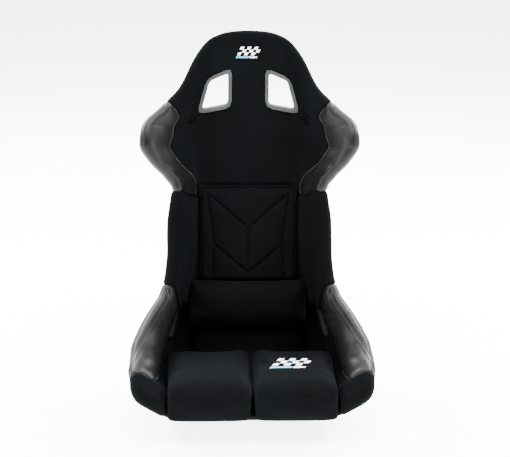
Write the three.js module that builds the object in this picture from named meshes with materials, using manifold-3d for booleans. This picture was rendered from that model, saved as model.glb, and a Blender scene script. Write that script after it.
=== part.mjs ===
// A fixed-back racing bucket seat: a laminated shell, its padded covers over foam, separate pads on the
// inside, moulded frames round the harness openings, and steel fixings in both sides.
// Millimetres. +Z is up, the driver faces -Y, and the plane X = 0 is the seat's middle.
//
// Everything soft follows the shell, so a place on the seat is given by two numbers: s, the length in mm
// along the spine from the front lip to the top of the head, and t, the fraction of the way round the
// section from the middle (0) to the shell's edge (-1 on the left, 1 on the right).
import * as THREE from "three";
import { mergeVertices } from "three/addons/utils/BufferGeometryUtils.js";
import Module from "manifold-3d";

const wasm = await Module();
wasm.setup();

// ---------------------------------------------------------------- driving dimensions
const SHELL = 4; // laminate thickness
const GAP = 0.4; // clearance between neighbours that touch
const BED = 2; // adhesive bed between the shell and what is glued to it
const CLOTH = 2; // cover thickness
const WRAP = 28; // width of cover turned on to the back of the shell
const BACKING = SHELL + 4.6; // how far the turned cover stands behind the shell's inner face

// The spine of the shell: where it starts, which way it heads, and each stretch's length and turn.
const LIP = { y: -250, z: 60, heading: -14 };
const STRETCHES = [
  { length: 207, turn: 0 }, // thigh ramp
  { length: 60, turn: 14 },
  { length: 20, turn: 0 }, // flat that the seat stands on
  { length: 125, turn: 74 }, // hip curve
  { length: 245, turn: 4 },
  { length: 245, turn: 4 },
  { length: 220, turn: 3 },
  { length: 96, turn: 2 }, // head
];
const LENGTH = STRETCHES.reduce((sum, stretch) => sum + stretch.length, 0);

// Sections of the shell: half-width of the flat, corner radius, and the edge's place (x, y, z).
const SECTIONS = [
  { s: 0, flat: 166, corner: 80, edge: [284, -246, 118] },
  { s: 40, flat: 140, corner: 77, edge: [276, -221, 132] },
  { s: 80, flat: 134, corner: 77, edge: [281, -192, 148] },
  { s: 170, flat: 131, corner: 74, edge: [280, -135, 174] },
  { s: 260, flat: 130, corner: 73, edge: [266, -78, 200] },
  { s: 330, flat: 132, corner: 72, edge: [245, -35, 228] },
  { s: 410, flat: 136, corner: 68, edge: [217, 5, 262] },
  { s: 500, flat: 120, corner: 62, edge: [202, 38, 305] },
  { s: 600, flat: 106, corner: 60, edge: [197, 62, 360] },
  { s: 700, flat: 100, corner: 58, edge: [196, 80, 425] },
  { s: 780, flat: 100, corner: 58, edge: [187, 92, 487] },
  { s: 812, flat: 100, corner: 58, edge: [184, 96, 513] },
  { s: 845, flat: 102, corner: 60, edge: [203, 98, 543] },
  { s: 890, flat: 104, corner: 60, edge: [238, 95, 585] },
  { s: 935, flat: 106, corner: 62, edge: [260, 98, 625] },
  { s: 980, flat: 104, corner: 62, edge: [255, 118, 660] },
  { s: 1030, flat: 100, corner: 60, edge: [213, 155, 698] },
  { s: 1080, flat: 96, corner: 54, edge: [168, 192, 738] },
  { s: 1130, flat: 90, corner: 44, edge: [144, 215, 780] },
  { s: 1170, flat: 84, corner: 36, edge: [131, 226, 816] },
  { s: 1218, flat: 80, corner: 30, edge: [122, 234, 862] },
];

// The shell's outline in s and t: rounded front corners, and a head that closes in a flat arch.
const NOSE = 52; // length of the rounded front corner, along s
const NOSE_T = 0.13; // its width, in t
const HEAD = 1120; // where the head starts to close
const ARCH = 0.8; // below 1 is squarer than an ellipse

// Where the covers meet, along s.
const HIP = 455; // top of the thigh bolsters
const WING_FOOT = 803; // lower hem of the shoulder wings
const BACK_SEAM = 835; // seam across the foot of the upper back
const WING_TOP = 1043; // where the wings run out at the edge

// Harness openings.
const SHOULDER = { s: 1077, x: 82, outline: [[-13, 55], [23, 18], [14, -57], [-43, -20]], round: 9 };
const LAP = { s: 438, t: 0.615, long: 62, wide: 24 };
const STRAP = { s: 249, long: 56, wide: 20 };
const FRAME_WALL = 2.5; // wall of each moulded frame
const FRAME_FLANGE = 9; // width of its flange
const FRAME_PLATE = 3; // thickness of its flange

// Side fixings: M8 inserts in a steel plate laminated into a flat boss on each side.
const MOUNT = { x: 222, y: -50, z: 66, spacing: 290, half: 18, skin: 3 };
const PLATE = { length: 318, height: 28, thickness: 4 };
const INSERT = { outer: 6.5, bore: 3.4, length: 12 };

// Trims: the depth of the channel over the front lip, how far its faces stand off the shell, and the
// strip on the back.
const LIP_TRIM = 9;
const LIP_RUBBER = { outer: 4, inner: 1.4 };
const HEM = { from: WRAP + 3, to: WRAP + 12, rise: 5 };

// Separate pads.
const BACK_PAD = { from: 590, to: 827, halfWidth: 124, thickness: 24 };
const LUMBAR = { from: 464, to: 583, halfWidth: 144, thickness: 58 };
const SEAT_PAD = { from: 273, to: 455, halfWidth: 140, thickness: 26 };
const CUSHION = { rear: 225, inner: 4, outer: 199, top: 143, front: -279 };

// ---------------------------------------------------------------- small helpers
const RAD = Math.PI / 180;
const V = (x, y, z) => new THREE.Vector3(x, y, z);
const clamp = (x, low, high) => Math.min(high, Math.max(low, x));
const mix = (a, b, f) => a + (b - a) * f;
const smooth = (x) => {
  const f = clamp(x, 0, 1);
  return f * f * (3 - 2 * f);
};
const spread = (count, from = 0, to = 1) =>
  Array.from({ length: count + 1 }, (_, i) => mix(from, to, i / count));

// A smooth curve through hand-set values that never overshoots them (monotone cubic).
function through(xs, ys) {
  const step = xs.slice(1).map((x, i) => x - xs[i]);
  const rise = step.map((h, i) => (ys[i + 1] - ys[i]) / h);
  const slope = xs.map((_, i) => {
    if (i === 0) return rise[0];
    if (i === xs.length - 1) return rise[i - 1];
    if (rise[i - 1] * rise[i] <= 0) return 0;
    const w1 = 2 * step[i] + step[i - 1];
    const w2 = step[i] + 2 * step[i - 1];
    return (w1 + w2) / (w1 / rise[i - 1] + w2 / rise[i]);
  });
  return (x) => {
    let i = 0;
    while (i < step.length - 1 && x > xs[i + 1]) i += 1;
    const f = (x - xs[i]) / step[i];
    const f2 = f * f;
    const f3 = f2 * f;
    return (
      ys[i] * (2 * f3 - 3 * f2 + 1) +
      step[i] * slope[i] * (f3 - 2 * f2 + f) +
      ys[i + 1] * (3 * f2 - 2 * f3) +
      step[i] * slope[i + 1] * (f3 - f2)
    );
  };
}

// ---------------------------------------------------------------- the shell's surface
// The spine is walked once in 1 mm steps; spine(s) reads it.
const spineTable = (() => {
  const table = [V(0, LIP.y, LIP.z)];
  let heading = LIP.heading;
  for (const { length, turn } of STRETCHES) {
    for (let i = 0; i < length; i += 1) {
      const middle = (heading + turn / length / 2) * RAD;
      const last = table[table.length - 1];
      table.push(V(0, last.y + Math.cos(middle), last.z + Math.sin(middle)));
      heading += turn / length;
    }
  }
  return table;
})();
function spine(s) {
  const i = clamp(Math.floor(s), 0, LENGTH - 1);
  return spineTable[i].clone().lerp(spineTable[i + 1], s - i);
}

const stations = SECTIONS.map((section) => section.s);
const flatAt = through(stations, SECTIONS.map((section) => section.flat));
const cornerAt = through(stations, SECTIONS.map((section) => section.corner));
const edgeAt = [0, 1, 2].map((k) => through(stations, SECTIONS.map((section) => section.edge[k])));

// One section: a flat, a corner arc and a straight wall that ends on the edge. The wall's plane leans
// from the spine to the edge.
function section(s) {
  const middle = spine(s);
  const flat = flatAt(s);
  const radius = cornerAt(s);
  const [x, y, z] = edgeAt.map((curve) => curve(s));
  const height = Math.hypot(middle.y - y, z - middle.z);
  const lean = Math.atan2(middle.y - y, z - middle.z);
  const reach = Math.hypot(height - radius, x - flat);
  const wall = Math.sqrt(reach * reach - radius * radius);
  const bend = Math.atan2(height - radius, x - flat) + Math.atan2(radius, wall);
  return { middle, flat, radius, lean, bend, half: flat + radius * bend + wall };
}

function surface(s, t) {
  const { middle, flat, radius, lean, bend, half } = section(s);
  const along = Math.abs(t) * half;
  const turned = clamp((along - flat) / radius, 0, bend);
  const up = Math.max(along - flat - radius * bend, 0);
  const x = Math.min(along, flat) + radius * Math.sin(turned) + up * Math.cos(bend);
  const rise = radius * (1 - Math.cos(turned)) + up * Math.sin(bend);
  return V(Math.sign(t) * x, middle.y - rise * Math.sin(lean), middle.z + rise * Math.cos(lean));
}

// The direction towards the driver.
function normal(s, t) {
  const across = surface(s, t + 0.002).sub(surface(s, t - 0.002));
  const along = surface(Math.min(s + 0.5, LENGTH), t).sub(surface(s - 0.5, t));
  return across.cross(along).normalize();
}

// A point a given depth above the shell's inner face; a negative depth is behind it.
const skin = (s, t, depth = 0) => surface(s, t).addScaledVector(normal(s, t), depth);

// The t at which the surface has this x.
function across(s, x) {
  let low = 0;
  let high = 1;
  for (let i = 0; i < 30; i += 1) {
    const t = (low + high) / 2;
    if (surface(s, t).x < Math.abs(x)) low = t;
    else high = t;
  }
  return Math.sign(x) * low;
}

// The shell's outline: 0 to 1 is the front corner, 1 to 2 the side, and 2 to 3 the arch of the head.
function outline(place) {
  if (place < 1) {
    const angle = (place * Math.PI) / 2;
    return { s: NOSE * (1 - Math.cos(angle)), t: 1 - NOSE_T + NOSE_T * Math.sin(angle) };
  }
  if (place < 2) return { s: mix(NOSE, HEAD, place - 1), t: 1 };
  const angle = (Math.min(place - 2, 1) * Math.PI) / 2;
  return {
    s: mix(HEAD, LENGTH, Math.sin(angle) ** ARCH),
    t: Math.max(Math.cos(angle), 0) ** ARCH,
  };
}
const placeOf = (s) => 1 + (s - NOSE) / (HEAD - NOSE);

// At a place on the outline: the edge, the direction to the driver, and the direction off the edge.
function rim(place, side) {
  const { s, t } = outline(place);
  const before = outline(Math.max(place - 0.004, 0));
  const after = outline(Math.min(place + 0.004, 3));
  const edge = surface(s, side * t);
  const inward = normal(s, side * t * 0.995);
  const run = surface(after.s, side * after.t).sub(surface(before.s, side * before.t));
  const off = run.cross(inward).multiplyScalar(side).normalize();
  return { s, t, edge, inward, off };
}

// ---------------------------------------------------------------- padding thickness
const middleDepth = through([0, 455, 740, 835, 900, 1218], [5, 5, 5.5, 12, 14, 14]);
const edgeDepth = through(
  [0, 80, 170, 330, 410, 500, 700, 800, 860, 930, 1000, 1060, 1130, 1218],
  [34, 32, 32, 30, 26, 22, 20, 20, 24, 28, 24, 16, 12, 12],
);
function depth(s, t) {
  const start = s < HIP ? 0.66 : 0.4;
  return mix(middleDepth(s), edgeDepth(s), smooth((Math.abs(t) - start) / 0.24));
}

// ---------------------------------------------------------------- solids from grids of points
// Joins corners that coincide and leaves out faces that have no area or lie back to back.
function tidy(geometry) {
  geometry.deleteAttribute("normal");
  geometry.deleteAttribute("uv");
  const merged = mergeVertices(geometry, 1e-3);
  const index = merged.index.array;
  const faces = new Map();
  for (let i = 0; i < index.length; i += 3) {
    const face = [index[i], index[i + 1], index[i + 2]];
    if (new Set(face).size < 3) continue;
    const key = [...face].sort((a, b) => a - b).join();
    if (faces.has(key)) faces.delete(key);
    else faces.set(key, face);
  }
  merged.setIndex([...faces.values()].flat());
  return merged;
}

function volume(geometry) {
  const position = geometry.attributes.position;
  const index = geometry.index.array;
  const corner = (i) => V().fromBufferAttribute(position, index[i]);
  let sum = 0;
  for (let i = 0; i < index.length; i += 3) {
    sum += corner(i).dot(corner(i + 1).cross(corner(i + 2)));
  }
  return sum / 6;
}

// The closed solid between two grids of points that have the same number of rows and columns. Each
// quad is split along its shorter diagonal.
function slab(upper, lower) {
  const rows = upper.length;
  const columns = upper[0].length;
  const points = [...upper.flat(), ...lower.flat()];
  const top = (i, j) => i * columns + j;
  const under = (i, j) => rows * columns + i * columns + j;
  const faces = [];
  const quad = (a, b, c, d) => {
    const shorter = points[a].distanceTo(points[c]) < points[b].distanceTo(points[d]);
    if (shorter) faces.push(a, b, c, a, c, d);
    else faces.push(a, b, d, b, c, d);
  };
  for (let i = 0; i < rows - 1; i += 1) {
    for (let j = 0; j < columns - 1; j += 1) {
      quad(top(i, j), top(i, j + 1), top(i + 1, j + 1), top(i + 1, j));
      quad(under(i, j), under(i + 1, j), under(i + 1, j + 1), under(i, j + 1));
    }
    quad(top(i, 0), top(i + 1, 0), under(i + 1, 0), under(i, 0));
    const last = columns - 1;
    quad(top(i, last), under(i, last), under(i + 1, last), top(i + 1, last));
  }
  for (let j = 0; j < columns - 1; j += 1) {
    const last = rows - 1;
    quad(top(0, j), under(0, j), under(0, j + 1), top(0, j + 1));
    quad(top(last, j), top(last, j + 1), under(last, j + 1), under(last, j));
  }
  const geometry = new THREE.BufferGeometry().setFromPoints(points);
  geometry.setIndex(faces);
  const solid = tidy(geometry);
  if (volume(solid) < 0) {
    const index = solid.index.array;
    for (let i = 0; i < index.length; i += 3) [index[i], index[i + 1]] = [index[i + 1], index[i]];
  }
  return solid;
}

function toSolid(geometry) {
  const closed = tidy(geometry.clone());
  return new wasm.Manifold(
    new wasm.Mesh({
      numProp: 3,
      vertProperties: new Float32Array(closed.attributes.position.array),
      triVerts: new Uint32Array(closed.index.array),
    }),
  );
}
function fromSolid(solid) {
  const mesh = solid.getMesh();
  const geometry = new THREE.BufferGeometry();
  geometry.setAttribute("position", new THREE.BufferAttribute(new Float32Array(mesh.vertProperties), 3));
  geometry.setIndex(new THREE.BufferAttribute(new Uint32Array(mesh.triVerts), 1));
  return geometry;
}
// Cuts pieces away and keeps what holds together as one body.
function cut(geometry, ...cutters) {
  const left = cutters.reduce((solid, cutter) => solid.subtract(toSolid(cutter)), toSolid(geometry));
  const bodies = left.decompose();
  return fromSolid(bodies.reduce((a, b) => (b.volume() > a.volume() ? b : a)));
}
function join(geometry, ...others) {
  return fromSolid(others.reduce((solid, other) => solid.add(toSolid(other)), toSolid(geometry)));
}

// ---------------------------------------------------------------- the assembly
const seat = new THREE.Group();
const finish = (color, roughness, metalness = 0) =>
  new THREE.MeshStandardMaterial({ color, roughness, metalness });
const finishes = {
  shell: finish(0x121315, 0.45),
  fabric: finish(0x14171a, 0.95),
  vinyl: finish(0x232527, 0.4),
  foam: finish(0x3c3c3a, 1),
  plastic: finish(0x6b6d70, 0.55),
  rubber: finish(0x0c0c0d, 0.8),
  tape: finish(0x101010, 1),
  steel: finish(0xa9adb0, 0.35, 1),
};
function add(name, geometry, material) {
  const mesh = new THREE.Mesh(geometry, material);
  mesh.name = name;
  seat.add(mesh);
}
const SIDES = [
  { side: -1, word: "left" },
  { side: 1, word: "right" },
];

// ---------------------------------------------------------------- shell
// Rows of the shell, as places on the outline, closer together where the spine bends.
const SIDE_ROWS = [
  NOSE, 90, 132, 175, 212, 240, 267, 287, 315, 343, 371, 399, 427, HIP, 500, 555, 615, 675, 740,
  WING_FOOT, BACK_SEAM, 865, 900, 935, 970, 1005, WING_TOP, 1080, HEAD,
];
const CORNER_ROWS = spread(4).slice(0, -1);
const ARCH_ROWS = [2.25, 2.45, 2.65, 2.82, 2.93, 3];
const SHELL_ROWS = [...CORNER_ROWS, ...SIDE_ROWS.map(placeOf), ...ARCH_ROWS];
const HALF_COLUMNS = [0, 0.32, 0.39, 0.46, 0.53, 0.6, 0.68, 0.78, 0.89, 1];
const COLUMNS = [...HALF_COLUMNS.slice(1).reverse().map((c) => -c), ...HALF_COLUMNS];

const shellRows = (offset) =>
  SHELL_ROWS.map((place) => {
    const { s, t } = outline(place);
    return COLUMNS.map((c) => skin(s, c * t, offset));
  });
const rounded = (halfLength, halfHeight) => {
  const shape = new THREE.Shape();
  shape.absarc(halfLength - halfHeight, 0, halfHeight, -Math.PI / 2, Math.PI / 2);
  shape.absarc(halfHeight - halfLength, 0, halfHeight, Math.PI / 2, (3 * Math.PI) / 2);
  return shape;
};
const extruded = (shape, depthOf, segments = 4) =>
  new THREE.ExtrudeGeometry(shape, { depth: depthOf, bevelEnabled: false, curveSegments: segments });
// An outline drawn in Y and Z, extruded along X from one x to another.
const alongX = (shape, from, to, segments) =>
  extruded(shape, to - from, segments)
    .rotateX(Math.PI / 2)
    .rotateZ(Math.PI / 2)
    .translate(from, MOUNT.y, MOUNT.z);

// The flat boss for the side mount: what fills the space between the shell's wall and the mount plane.
function boss(side) {
  const rows = [18, 35, ...SIDE_ROWS.filter((s) => s < HIP - 20)];
  const turns = [0.1, 0.4, 0.7];
  const wall = rows.map((s) => {
    const { flat, radius, bend, half } = section(s);
    const inner = turns.map((turn) => (flat + radius * bend * turn) / half);
    return [...inner, 0.6, 0.75].map((t) => skin(s, t, -SHELL / 2));
  });
  const plane = wall.map((row) => row.map((point) => V(MOUNT.x, point.y, point.z)));
  const half = MOUNT.spacing / 2 + MOUNT.half + 2;
  const prism = alongX(rounded(half, MOUNT.half), 100, MOUNT.x + 1);
  const filled = toSolid(slab(wall, plane)).intersect(toSolid(prism));
  return mirrored(fromSolid(filled), side);
}
function mirrored(geometry, side) {
  if (side > 0) return geometry;
  const flipped = tidy(geometry.clone()).scale(-1, 1, 1);
  const index = flipped.index.array;
  for (let i = 0; i < index.length; i += 3) [index[i], index[i + 1]] = [index[i + 1], index[i]];
  return flipped;
}

// The pocket that the plate and its inserts are laminated into, open to the outside at the inserts.
const plateFace = MOUNT.x - MOUNT.skin;
const insertHoles = [-1, 1].map((end) => MOUNT.y + (end * MOUNT.spacing) / 2);
const drilled = (radius, from, to, y) =>
  new THREE.CylinderGeometry(radius, radius, to - from, 16)
    .rotateZ(Math.PI / 2)
    .translate((from + to) / 2, y, MOUNT.z);
function pockets(side) {
  const slot = rounded(PLATE.length / 2 + GAP, PLATE.height / 2 + GAP);
  const pocket = alongX(slot, plateFace - PLATE.thickness - 2 * GAP, plateFace);
  const holes = insertHoles.map((y) =>
    drilled(INSERT.outer + GAP, MOUNT.x - INSERT.length - 1, MOUNT.x + 2, y),
  );
  return [pocket, ...holes].map((geometry) => mirrored(geometry, side));
}

// ---------------------------------------------------------------- harness openings
// A frame of reference on the seat: its origin on the surface, u across, v along s, w to the driver.
function place(s, t, lift, reach = 30) {
  const half = section(s).half;
  const along = skin(s + reach, t, lift).sub(skin(s - reach, t, lift)).normalize();
  const over = skin(s, t + 18 / half, lift).sub(skin(s, t - 18 / half, lift)).normalize();
  const out = over.clone().cross(along).normalize();
  over.copy(along.clone().cross(out));
  const matrix = new THREE.Matrix4().makeBasis(over, along, out);
  return matrix.setPosition(skin(s, t, lift));
}
// A closed outline through corners, with each corner rounded, grown outwards by a margin.
function roundedPolygon(corners, radius, margin = 0) {
  const points = corners.map(([x, y]) => new THREE.Vector2(x, y));
  const count = points.length;
  const clockwise = THREE.ShapeUtils.area(points) < 0 ? 1 : -1;
  const grown = points.map((point, i) => {
    const a = point.clone().sub(points[(i + count - 1) % count]).normalize();
    const b = points[(i + 1) % count].clone().sub(point).normalize();
    const outA = new THREE.Vector2(-a.y, a.x).multiplyScalar(clockwise);
    const outB = new THREE.Vector2(-b.y, b.x).multiplyScalar(clockwise);
    const bisector = outA.clone().add(outB).normalize();
    return point.clone().addScaledVector(bisector, margin / bisector.dot(outA));
  });
  const shape = new THREE.Shape();
  grown.forEach((point, i) => {
    const before = grown[(i + count - 1) % count];
    const after = grown[(i + 1) % count];
    const inset = radius + margin;
    const enter = point.clone().add(before.clone().sub(point).setLength(inset));
    const leave = point.clone().add(after.clone().sub(point).setLength(inset));
    if (i === 0) shape.moveTo(enter.x, enter.y);
    else shape.lineTo(enter.x, enter.y);
    shape.quadraticCurveTo(point.x, point.y, leave.x, leave.y);
  });
  shape.closePath();
  return shape;
}
const slotCorners = (long, wide) => [
  [-long / 2, wide / 2],
  [long / 2, wide / 2],
  [long / 2, -wide / 2],
  [-long / 2, -wide / 2],
];
// Each opening: its place, the outline of its clear way, and how far its frame reaches back.
function shoulderOpening(side) {
  const t = side * (SHOULDER.x / section(SHOULDER.s).half) * 1.02;
  const lift = depth(SHOULDER.s, t);
  return {
    at: place(SHOULDER.s, t, lift),
    corners: SHOULDER.outline.map(([x, y]) => [side * x, y]),
    round: SHOULDER.round,
    back: -(lift + SHELL + 8),
    shelf: 1.6,
  };
}
function lapOpening(side) {
  const lift = depth(LAP.s, LAP.t);
  return {
    at: place(LAP.s, side * LAP.t, lift),
    corners: slotCorners(LAP.wide, LAP.long),
    round: 8,
    back: -(lift + SHELL + 5),
    shelf: 1.2,
  };
}
function strapOpening() {
  const lift = depth(STRAP.s, 0);
  return {
    at: place(STRAP.s, 0, lift, 12),
    corners: slotCorners(STRAP.long, STRAP.wide),
    round: 8,
    back: -(lift + SHELL - 0.5),
    shelf: 0.8,
  };
}
// The frame's tube through the padding and the shell, with its flange on the driver's side.
function openingFrame({ at, corners, round, back, shelf }) {
  const wall = roundedPolygon(corners, round, FRAME_WALL);
  const clear = roundedPolygon(corners, round);
  const flange = roundedPolygon(corners, round, FRAME_FLANGE);
  const body = extruded(wall, shelf + FRAME_PLATE - back, 2).translate(0, 0, back);
  const lip = extruded(flange, FRAME_PLATE, 2).translate(0, 0, shelf);
  const way = extruded(clear, 80, 2).translate(0, 0, -60);
  return cut(join(body, lip), way).applyMatrix4(at);
}
// The ring that clips on to the tube behind the shell.
function backRing({ at, corners, round, back }) {
  const outer = roundedPolygon(corners, round, FRAME_FLANGE);
  const inner = roundedPolygon(corners, round, FRAME_WALL + GAP);
  const ring = extruded(outer, 2.5, 2).translate(0, 0, back);
  return cut(ring, extruded(inner, 40, 2).translate(0, 0, back - 20)).applyMatrix4(at);
}
// What the padding leaves free for a frame: its tube's way through and the seat of its flange.
function opening({ at, corners, round, shelf }, reach = 60) {
  const way = extruded(roundedPolygon(corners, round, FRAME_WALL + GAP), 2 * reach, 2);
  const seating = extruded(roundedPolygon(corners, round, FRAME_FLANGE + GAP), reach, 2);
  return join(way.translate(0, 0, -reach), seating.translate(0, 0, shelf - GAP)).applyMatrix4(at);
}

const shoulderCuts = SIDES.map(({ side }) => opening(shoulderOpening(side)));
const lapCuts = SIDES.map(({ side }) => opening(lapOpening(side), 40));
const strapCut = opening(strapOpening(), 30);

const bare = join(slab(shellRows(0), shellRows(-SHELL)), boss(-1), boss(1));
add(
  "shell",
  cut(bare, ...pockets(-1), ...pockets(1), ...shoulderCuts, ...lapCuts, strapCut),
  finishes.shell,
);

// ---------------------------------------------------------------- side fixings
for (const { side, word } of SIDES) {
  const plate = cut(
    alongX(rounded(PLATE.length / 2, PLATE.height / 2), plateFace - PLATE.thickness - GAP, plateFace - GAP),
    ...insertHoles.map((y) => drilled(INSERT.outer + GAP, 100, 300, y)),
  );
  add(`mount_plate_${word}`, mirrored(plate, side), finishes.steel);
  insertHoles.forEach((y, i) => {
    const from = MOUNT.x - INSERT.length;
    const bush = cut(drilled(INSERT.outer, from, MOUNT.x - GAP, y), drilled(INSERT.bore, 100, 300, y));
    add(`threaded_insert_${word}_${i ? "rear" : "front"}`, mirrored(bush, side), finishes.steel);
  });
}

// ---------------------------------------------------------------- moulded frames
for (const { side, word } of SIDES) {
  add(`shoulder_frame_${word}`, openingFrame(shoulderOpening(side)), finishes.plastic);
  add(`shoulder_back_ring_${word}`, backRing(shoulderOpening(side)), finishes.plastic);
  add(`lap_belt_frame_${word}`, openingFrame(lapOpening(side)), finishes.plastic);
}
add("crotch_strap_frame", openingFrame(strapOpening()), finishes.plastic);

// ---------------------------------------------------------------- covers and foam round the edge
// One row of a cover or its foam from its inner seam to the edge, round the edge and on to the back.
// inset is how far the row lies inside the cover's outer face; on the foam's bed it hugs the shell.
const ROUND = spread(4, 0, Math.PI);
const FOAM_INSET = CLOTH + 3;
// The place on the back of the shell that lies a distance in from the edge.
function turnedIn({ s, t, off }, side, distance, rise) {
  const half = section(s).half;
  const along = surface(Math.min(s + 1, LENGTH), side * t).sub(surface(s - 1, side * t)).normalize();
  const over = surface(s, side * t).sub(surface(s, side * t - side * 0.01)).normalize();
  const inS = distance * off.dot(along);
  const inT = (distance * off.dot(over)) / half;
  return skin(clamp(s - inS, 0, LENGTH), side * Math.max(t - inT, 0), rise);
}
function edgeRow(placeAlong, side, innerT, inset, turned) {
  const { s, t, edge, inward, off } = rim(placeAlong, side);
  const reach = Math.max(t - innerT, 0);
  const row = [0, 0.34, 0.7].map((f) => {
    const at = side * (innerT + reach * f);
    return skin(s, at, depth(s, at) - inset);
  });
  const above = depth(s, t) - inset;
  const below = BACKING - inset;
  const middle = (above - below) / 2;
  const radius = (above + below) / 2;
  const overhang = 0.9 * (depth(s, t) + BACKING) * 0.5 - inset;
  for (const angle of turned ? ROUND : ROUND.slice(0, -1)) {
    row.push(
      edge
        .clone()
        .addScaledVector(inward, middle + radius * Math.cos(angle))
        .addScaledVector(off, overhang * Math.sin(angle)),
    );
  }
  if (turned) row.push(turnedIn({ s, t, off }, side, WRAP, -below));
  return row;
}
// The face of the shell that the same row rests on.
function bedRow(placeAlong, side, innerT, bed, turned) {
  const { s, t, edge, inward, off } = rim(placeAlong, side);
  const reach = Math.max(t - innerT, 0);
  const row = [0, 0.34, 0.7].map((f) => skin(s, side * (innerT + reach * f), bed));
  for (const angle of turned ? ROUND : ROUND.slice(0, -1)) {
    row.push(
      edge
        .clone()
        .addScaledVector(inward, -SHELL / 2 + (SHELL / 2 + bed) * Math.cos(angle))
        .addScaledVector(off, 3 * Math.sin(angle)),
    );
  }
  if (turned) row.push(turnedIn({ s, t, off }, side, WRAP, -SHELL - bed));
  return row;
}
function edgeCover(places, side, innerT) {
  const outer = places.map((at) => edgeRow(at, side, innerT(outline(at).s), 0, true));
  const inner = places.map((at) => edgeRow(at, side, innerT(outline(at).s), CLOTH, true));
  return slab(outer, inner);
}
function edgeFoam(places, side, innerT) {
  const outer = places.map((at) => edgeRow(at, side, innerT(outline(at).s), FOAM_INSET, false));
  const bed = places.map((at) => bedRow(at, side, innerT(outline(at).s), BED, false));
  return slab(outer, bed);
}
// The shell's rows from one s to another, stopping short of both by a seam's half-gap.
const rowsBetween = (from, to) => [
  placeOf(from + GAP),
  ...SIDE_ROWS.filter((s) => s > from + 8 && s < to - 8).map(placeOf),
  placeOf(to - GAP),
];

// The wing's inner seam: it leaves the edge, runs down the wing's root and cuts in to its foot.
const wingSeam = through(
  [WING_FOOT, BACK_SEAM, 876, 924, 967, 1011, WING_TOP],
  [0.56, 0.56, 0.755, 0.797, 0.756, 0.778, 0.97],
);
// The thigh bolster's inner seam.
const bolsterSeam = through([NOSE, 85, 222, 328, 393, 440, HIP], [0.88, 0.82, 0.76, 0.785, 0.8, 0.9, 0.96]);
const sideSeam = through([HIP, 600, WING_FOOT], [0.5, 0.47, 0.52]);
const SEAM = 0.0015; // half-width of a seam, in t

for (const { side, word } of SIDES) {
  const wing = rowsBetween(WING_FOOT, WING_TOP);
  add(`wing_cover_${word}`, edgeCover(wing, side, (s) => wingSeam(s) + SEAM), finishes.vinyl);
  add(`wing_foam_${word}`, edgeFoam(wing, side, (s) => wingSeam(s) + SEAM), finishes.foam);

  const flank = rowsBetween(HIP, WING_FOOT);
  const flankCover = edgeCover(flank, side, (s) => sideSeam(s) + SEAM);
  const flankFoam = edgeFoam(flank, side, (s) => sideSeam(s) + SEAM);
  add(`side_cover_${word}`, cut(flankCover, ...lapCuts), finishes.fabric);
  add(`side_foam_${word}`, cut(flankFoam, ...lapCuts), finishes.foam);

  const thigh = rowsBetween(NOSE, HIP);
  add(`bolster_cover_${word}`, edgeCover(thigh, side, (s) => bolsterSeam(s) + SEAM), finishes.vinyl);
  add(`bolster_foam_${word}`, edgeFoam(thigh, side, (s) => bolsterSeam(s) + SEAM), finishes.foam);
}

// The nose of each bolster: the cover and foam turn round the shell's front corner.
const NOSE_INNER = 0.76; // where the nose starts, in t
function noseRows(side, inset, bed) {
  const rows = [...spread(3, 0.985, 0), -0.5, -1];
  return rows.map((placeAlong) => {
    const corner = Math.max(placeAlong, 0);
    const { edge, inward, off, ...at } = rim(corner, side);
    const t = placeAlong < 0 ? mix(at.t, NOSE_INNER, -placeAlong) : at.t;
    const foot = placeAlong < 0 ? surface(0, side * t) : edge;
    const face = placeAlong < 0 ? normal(0.6, side * t) : inward;
    const away = placeAlong < 0 ? surface(0, side * t).sub(surface(1, side * t)).normalize() : off;
    const startS = NOSE - GAP;
    const thick = depth(at.s, side * Math.max(t, 0.9));
    const above = bed ?? thick - inset;
    const below = bed === undefined ? BACKING - inset : SHELL + bed;
    const middle = (above - below) / 2;
    const radius = (above + below) / 2;
    const overhang = bed === undefined ? 0.9 * (thick + BACKING) * 0.5 - inset : 3;
    const row = [0, 0.5].map((f) => skin(mix(startS, at.s, f), side * t, above));
    for (const angle of ROUND) {
      row.push(
        foot
          .clone()
          .addScaledVector(face, middle + radius * Math.cos(angle))
          .addScaledVector(away, overhang * Math.sin(angle)),
      );
    }
    return row;
  });
}
for (const { side, word } of SIDES) {
  add(`nose_cover_${word}`, slab(noseRows(side, 0), noseRows(side, CLOTH)), finishes.fabric);
  const foam = slab(
    noseRows(side, FOAM_INSET).map((row) => row.slice(0, -1)),
    noseRows(side, 0, BED).map((row) => row.slice(0, -1)),
  );
  add(`nose_foam_${word}`, foam, finishes.foam);
}

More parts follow.
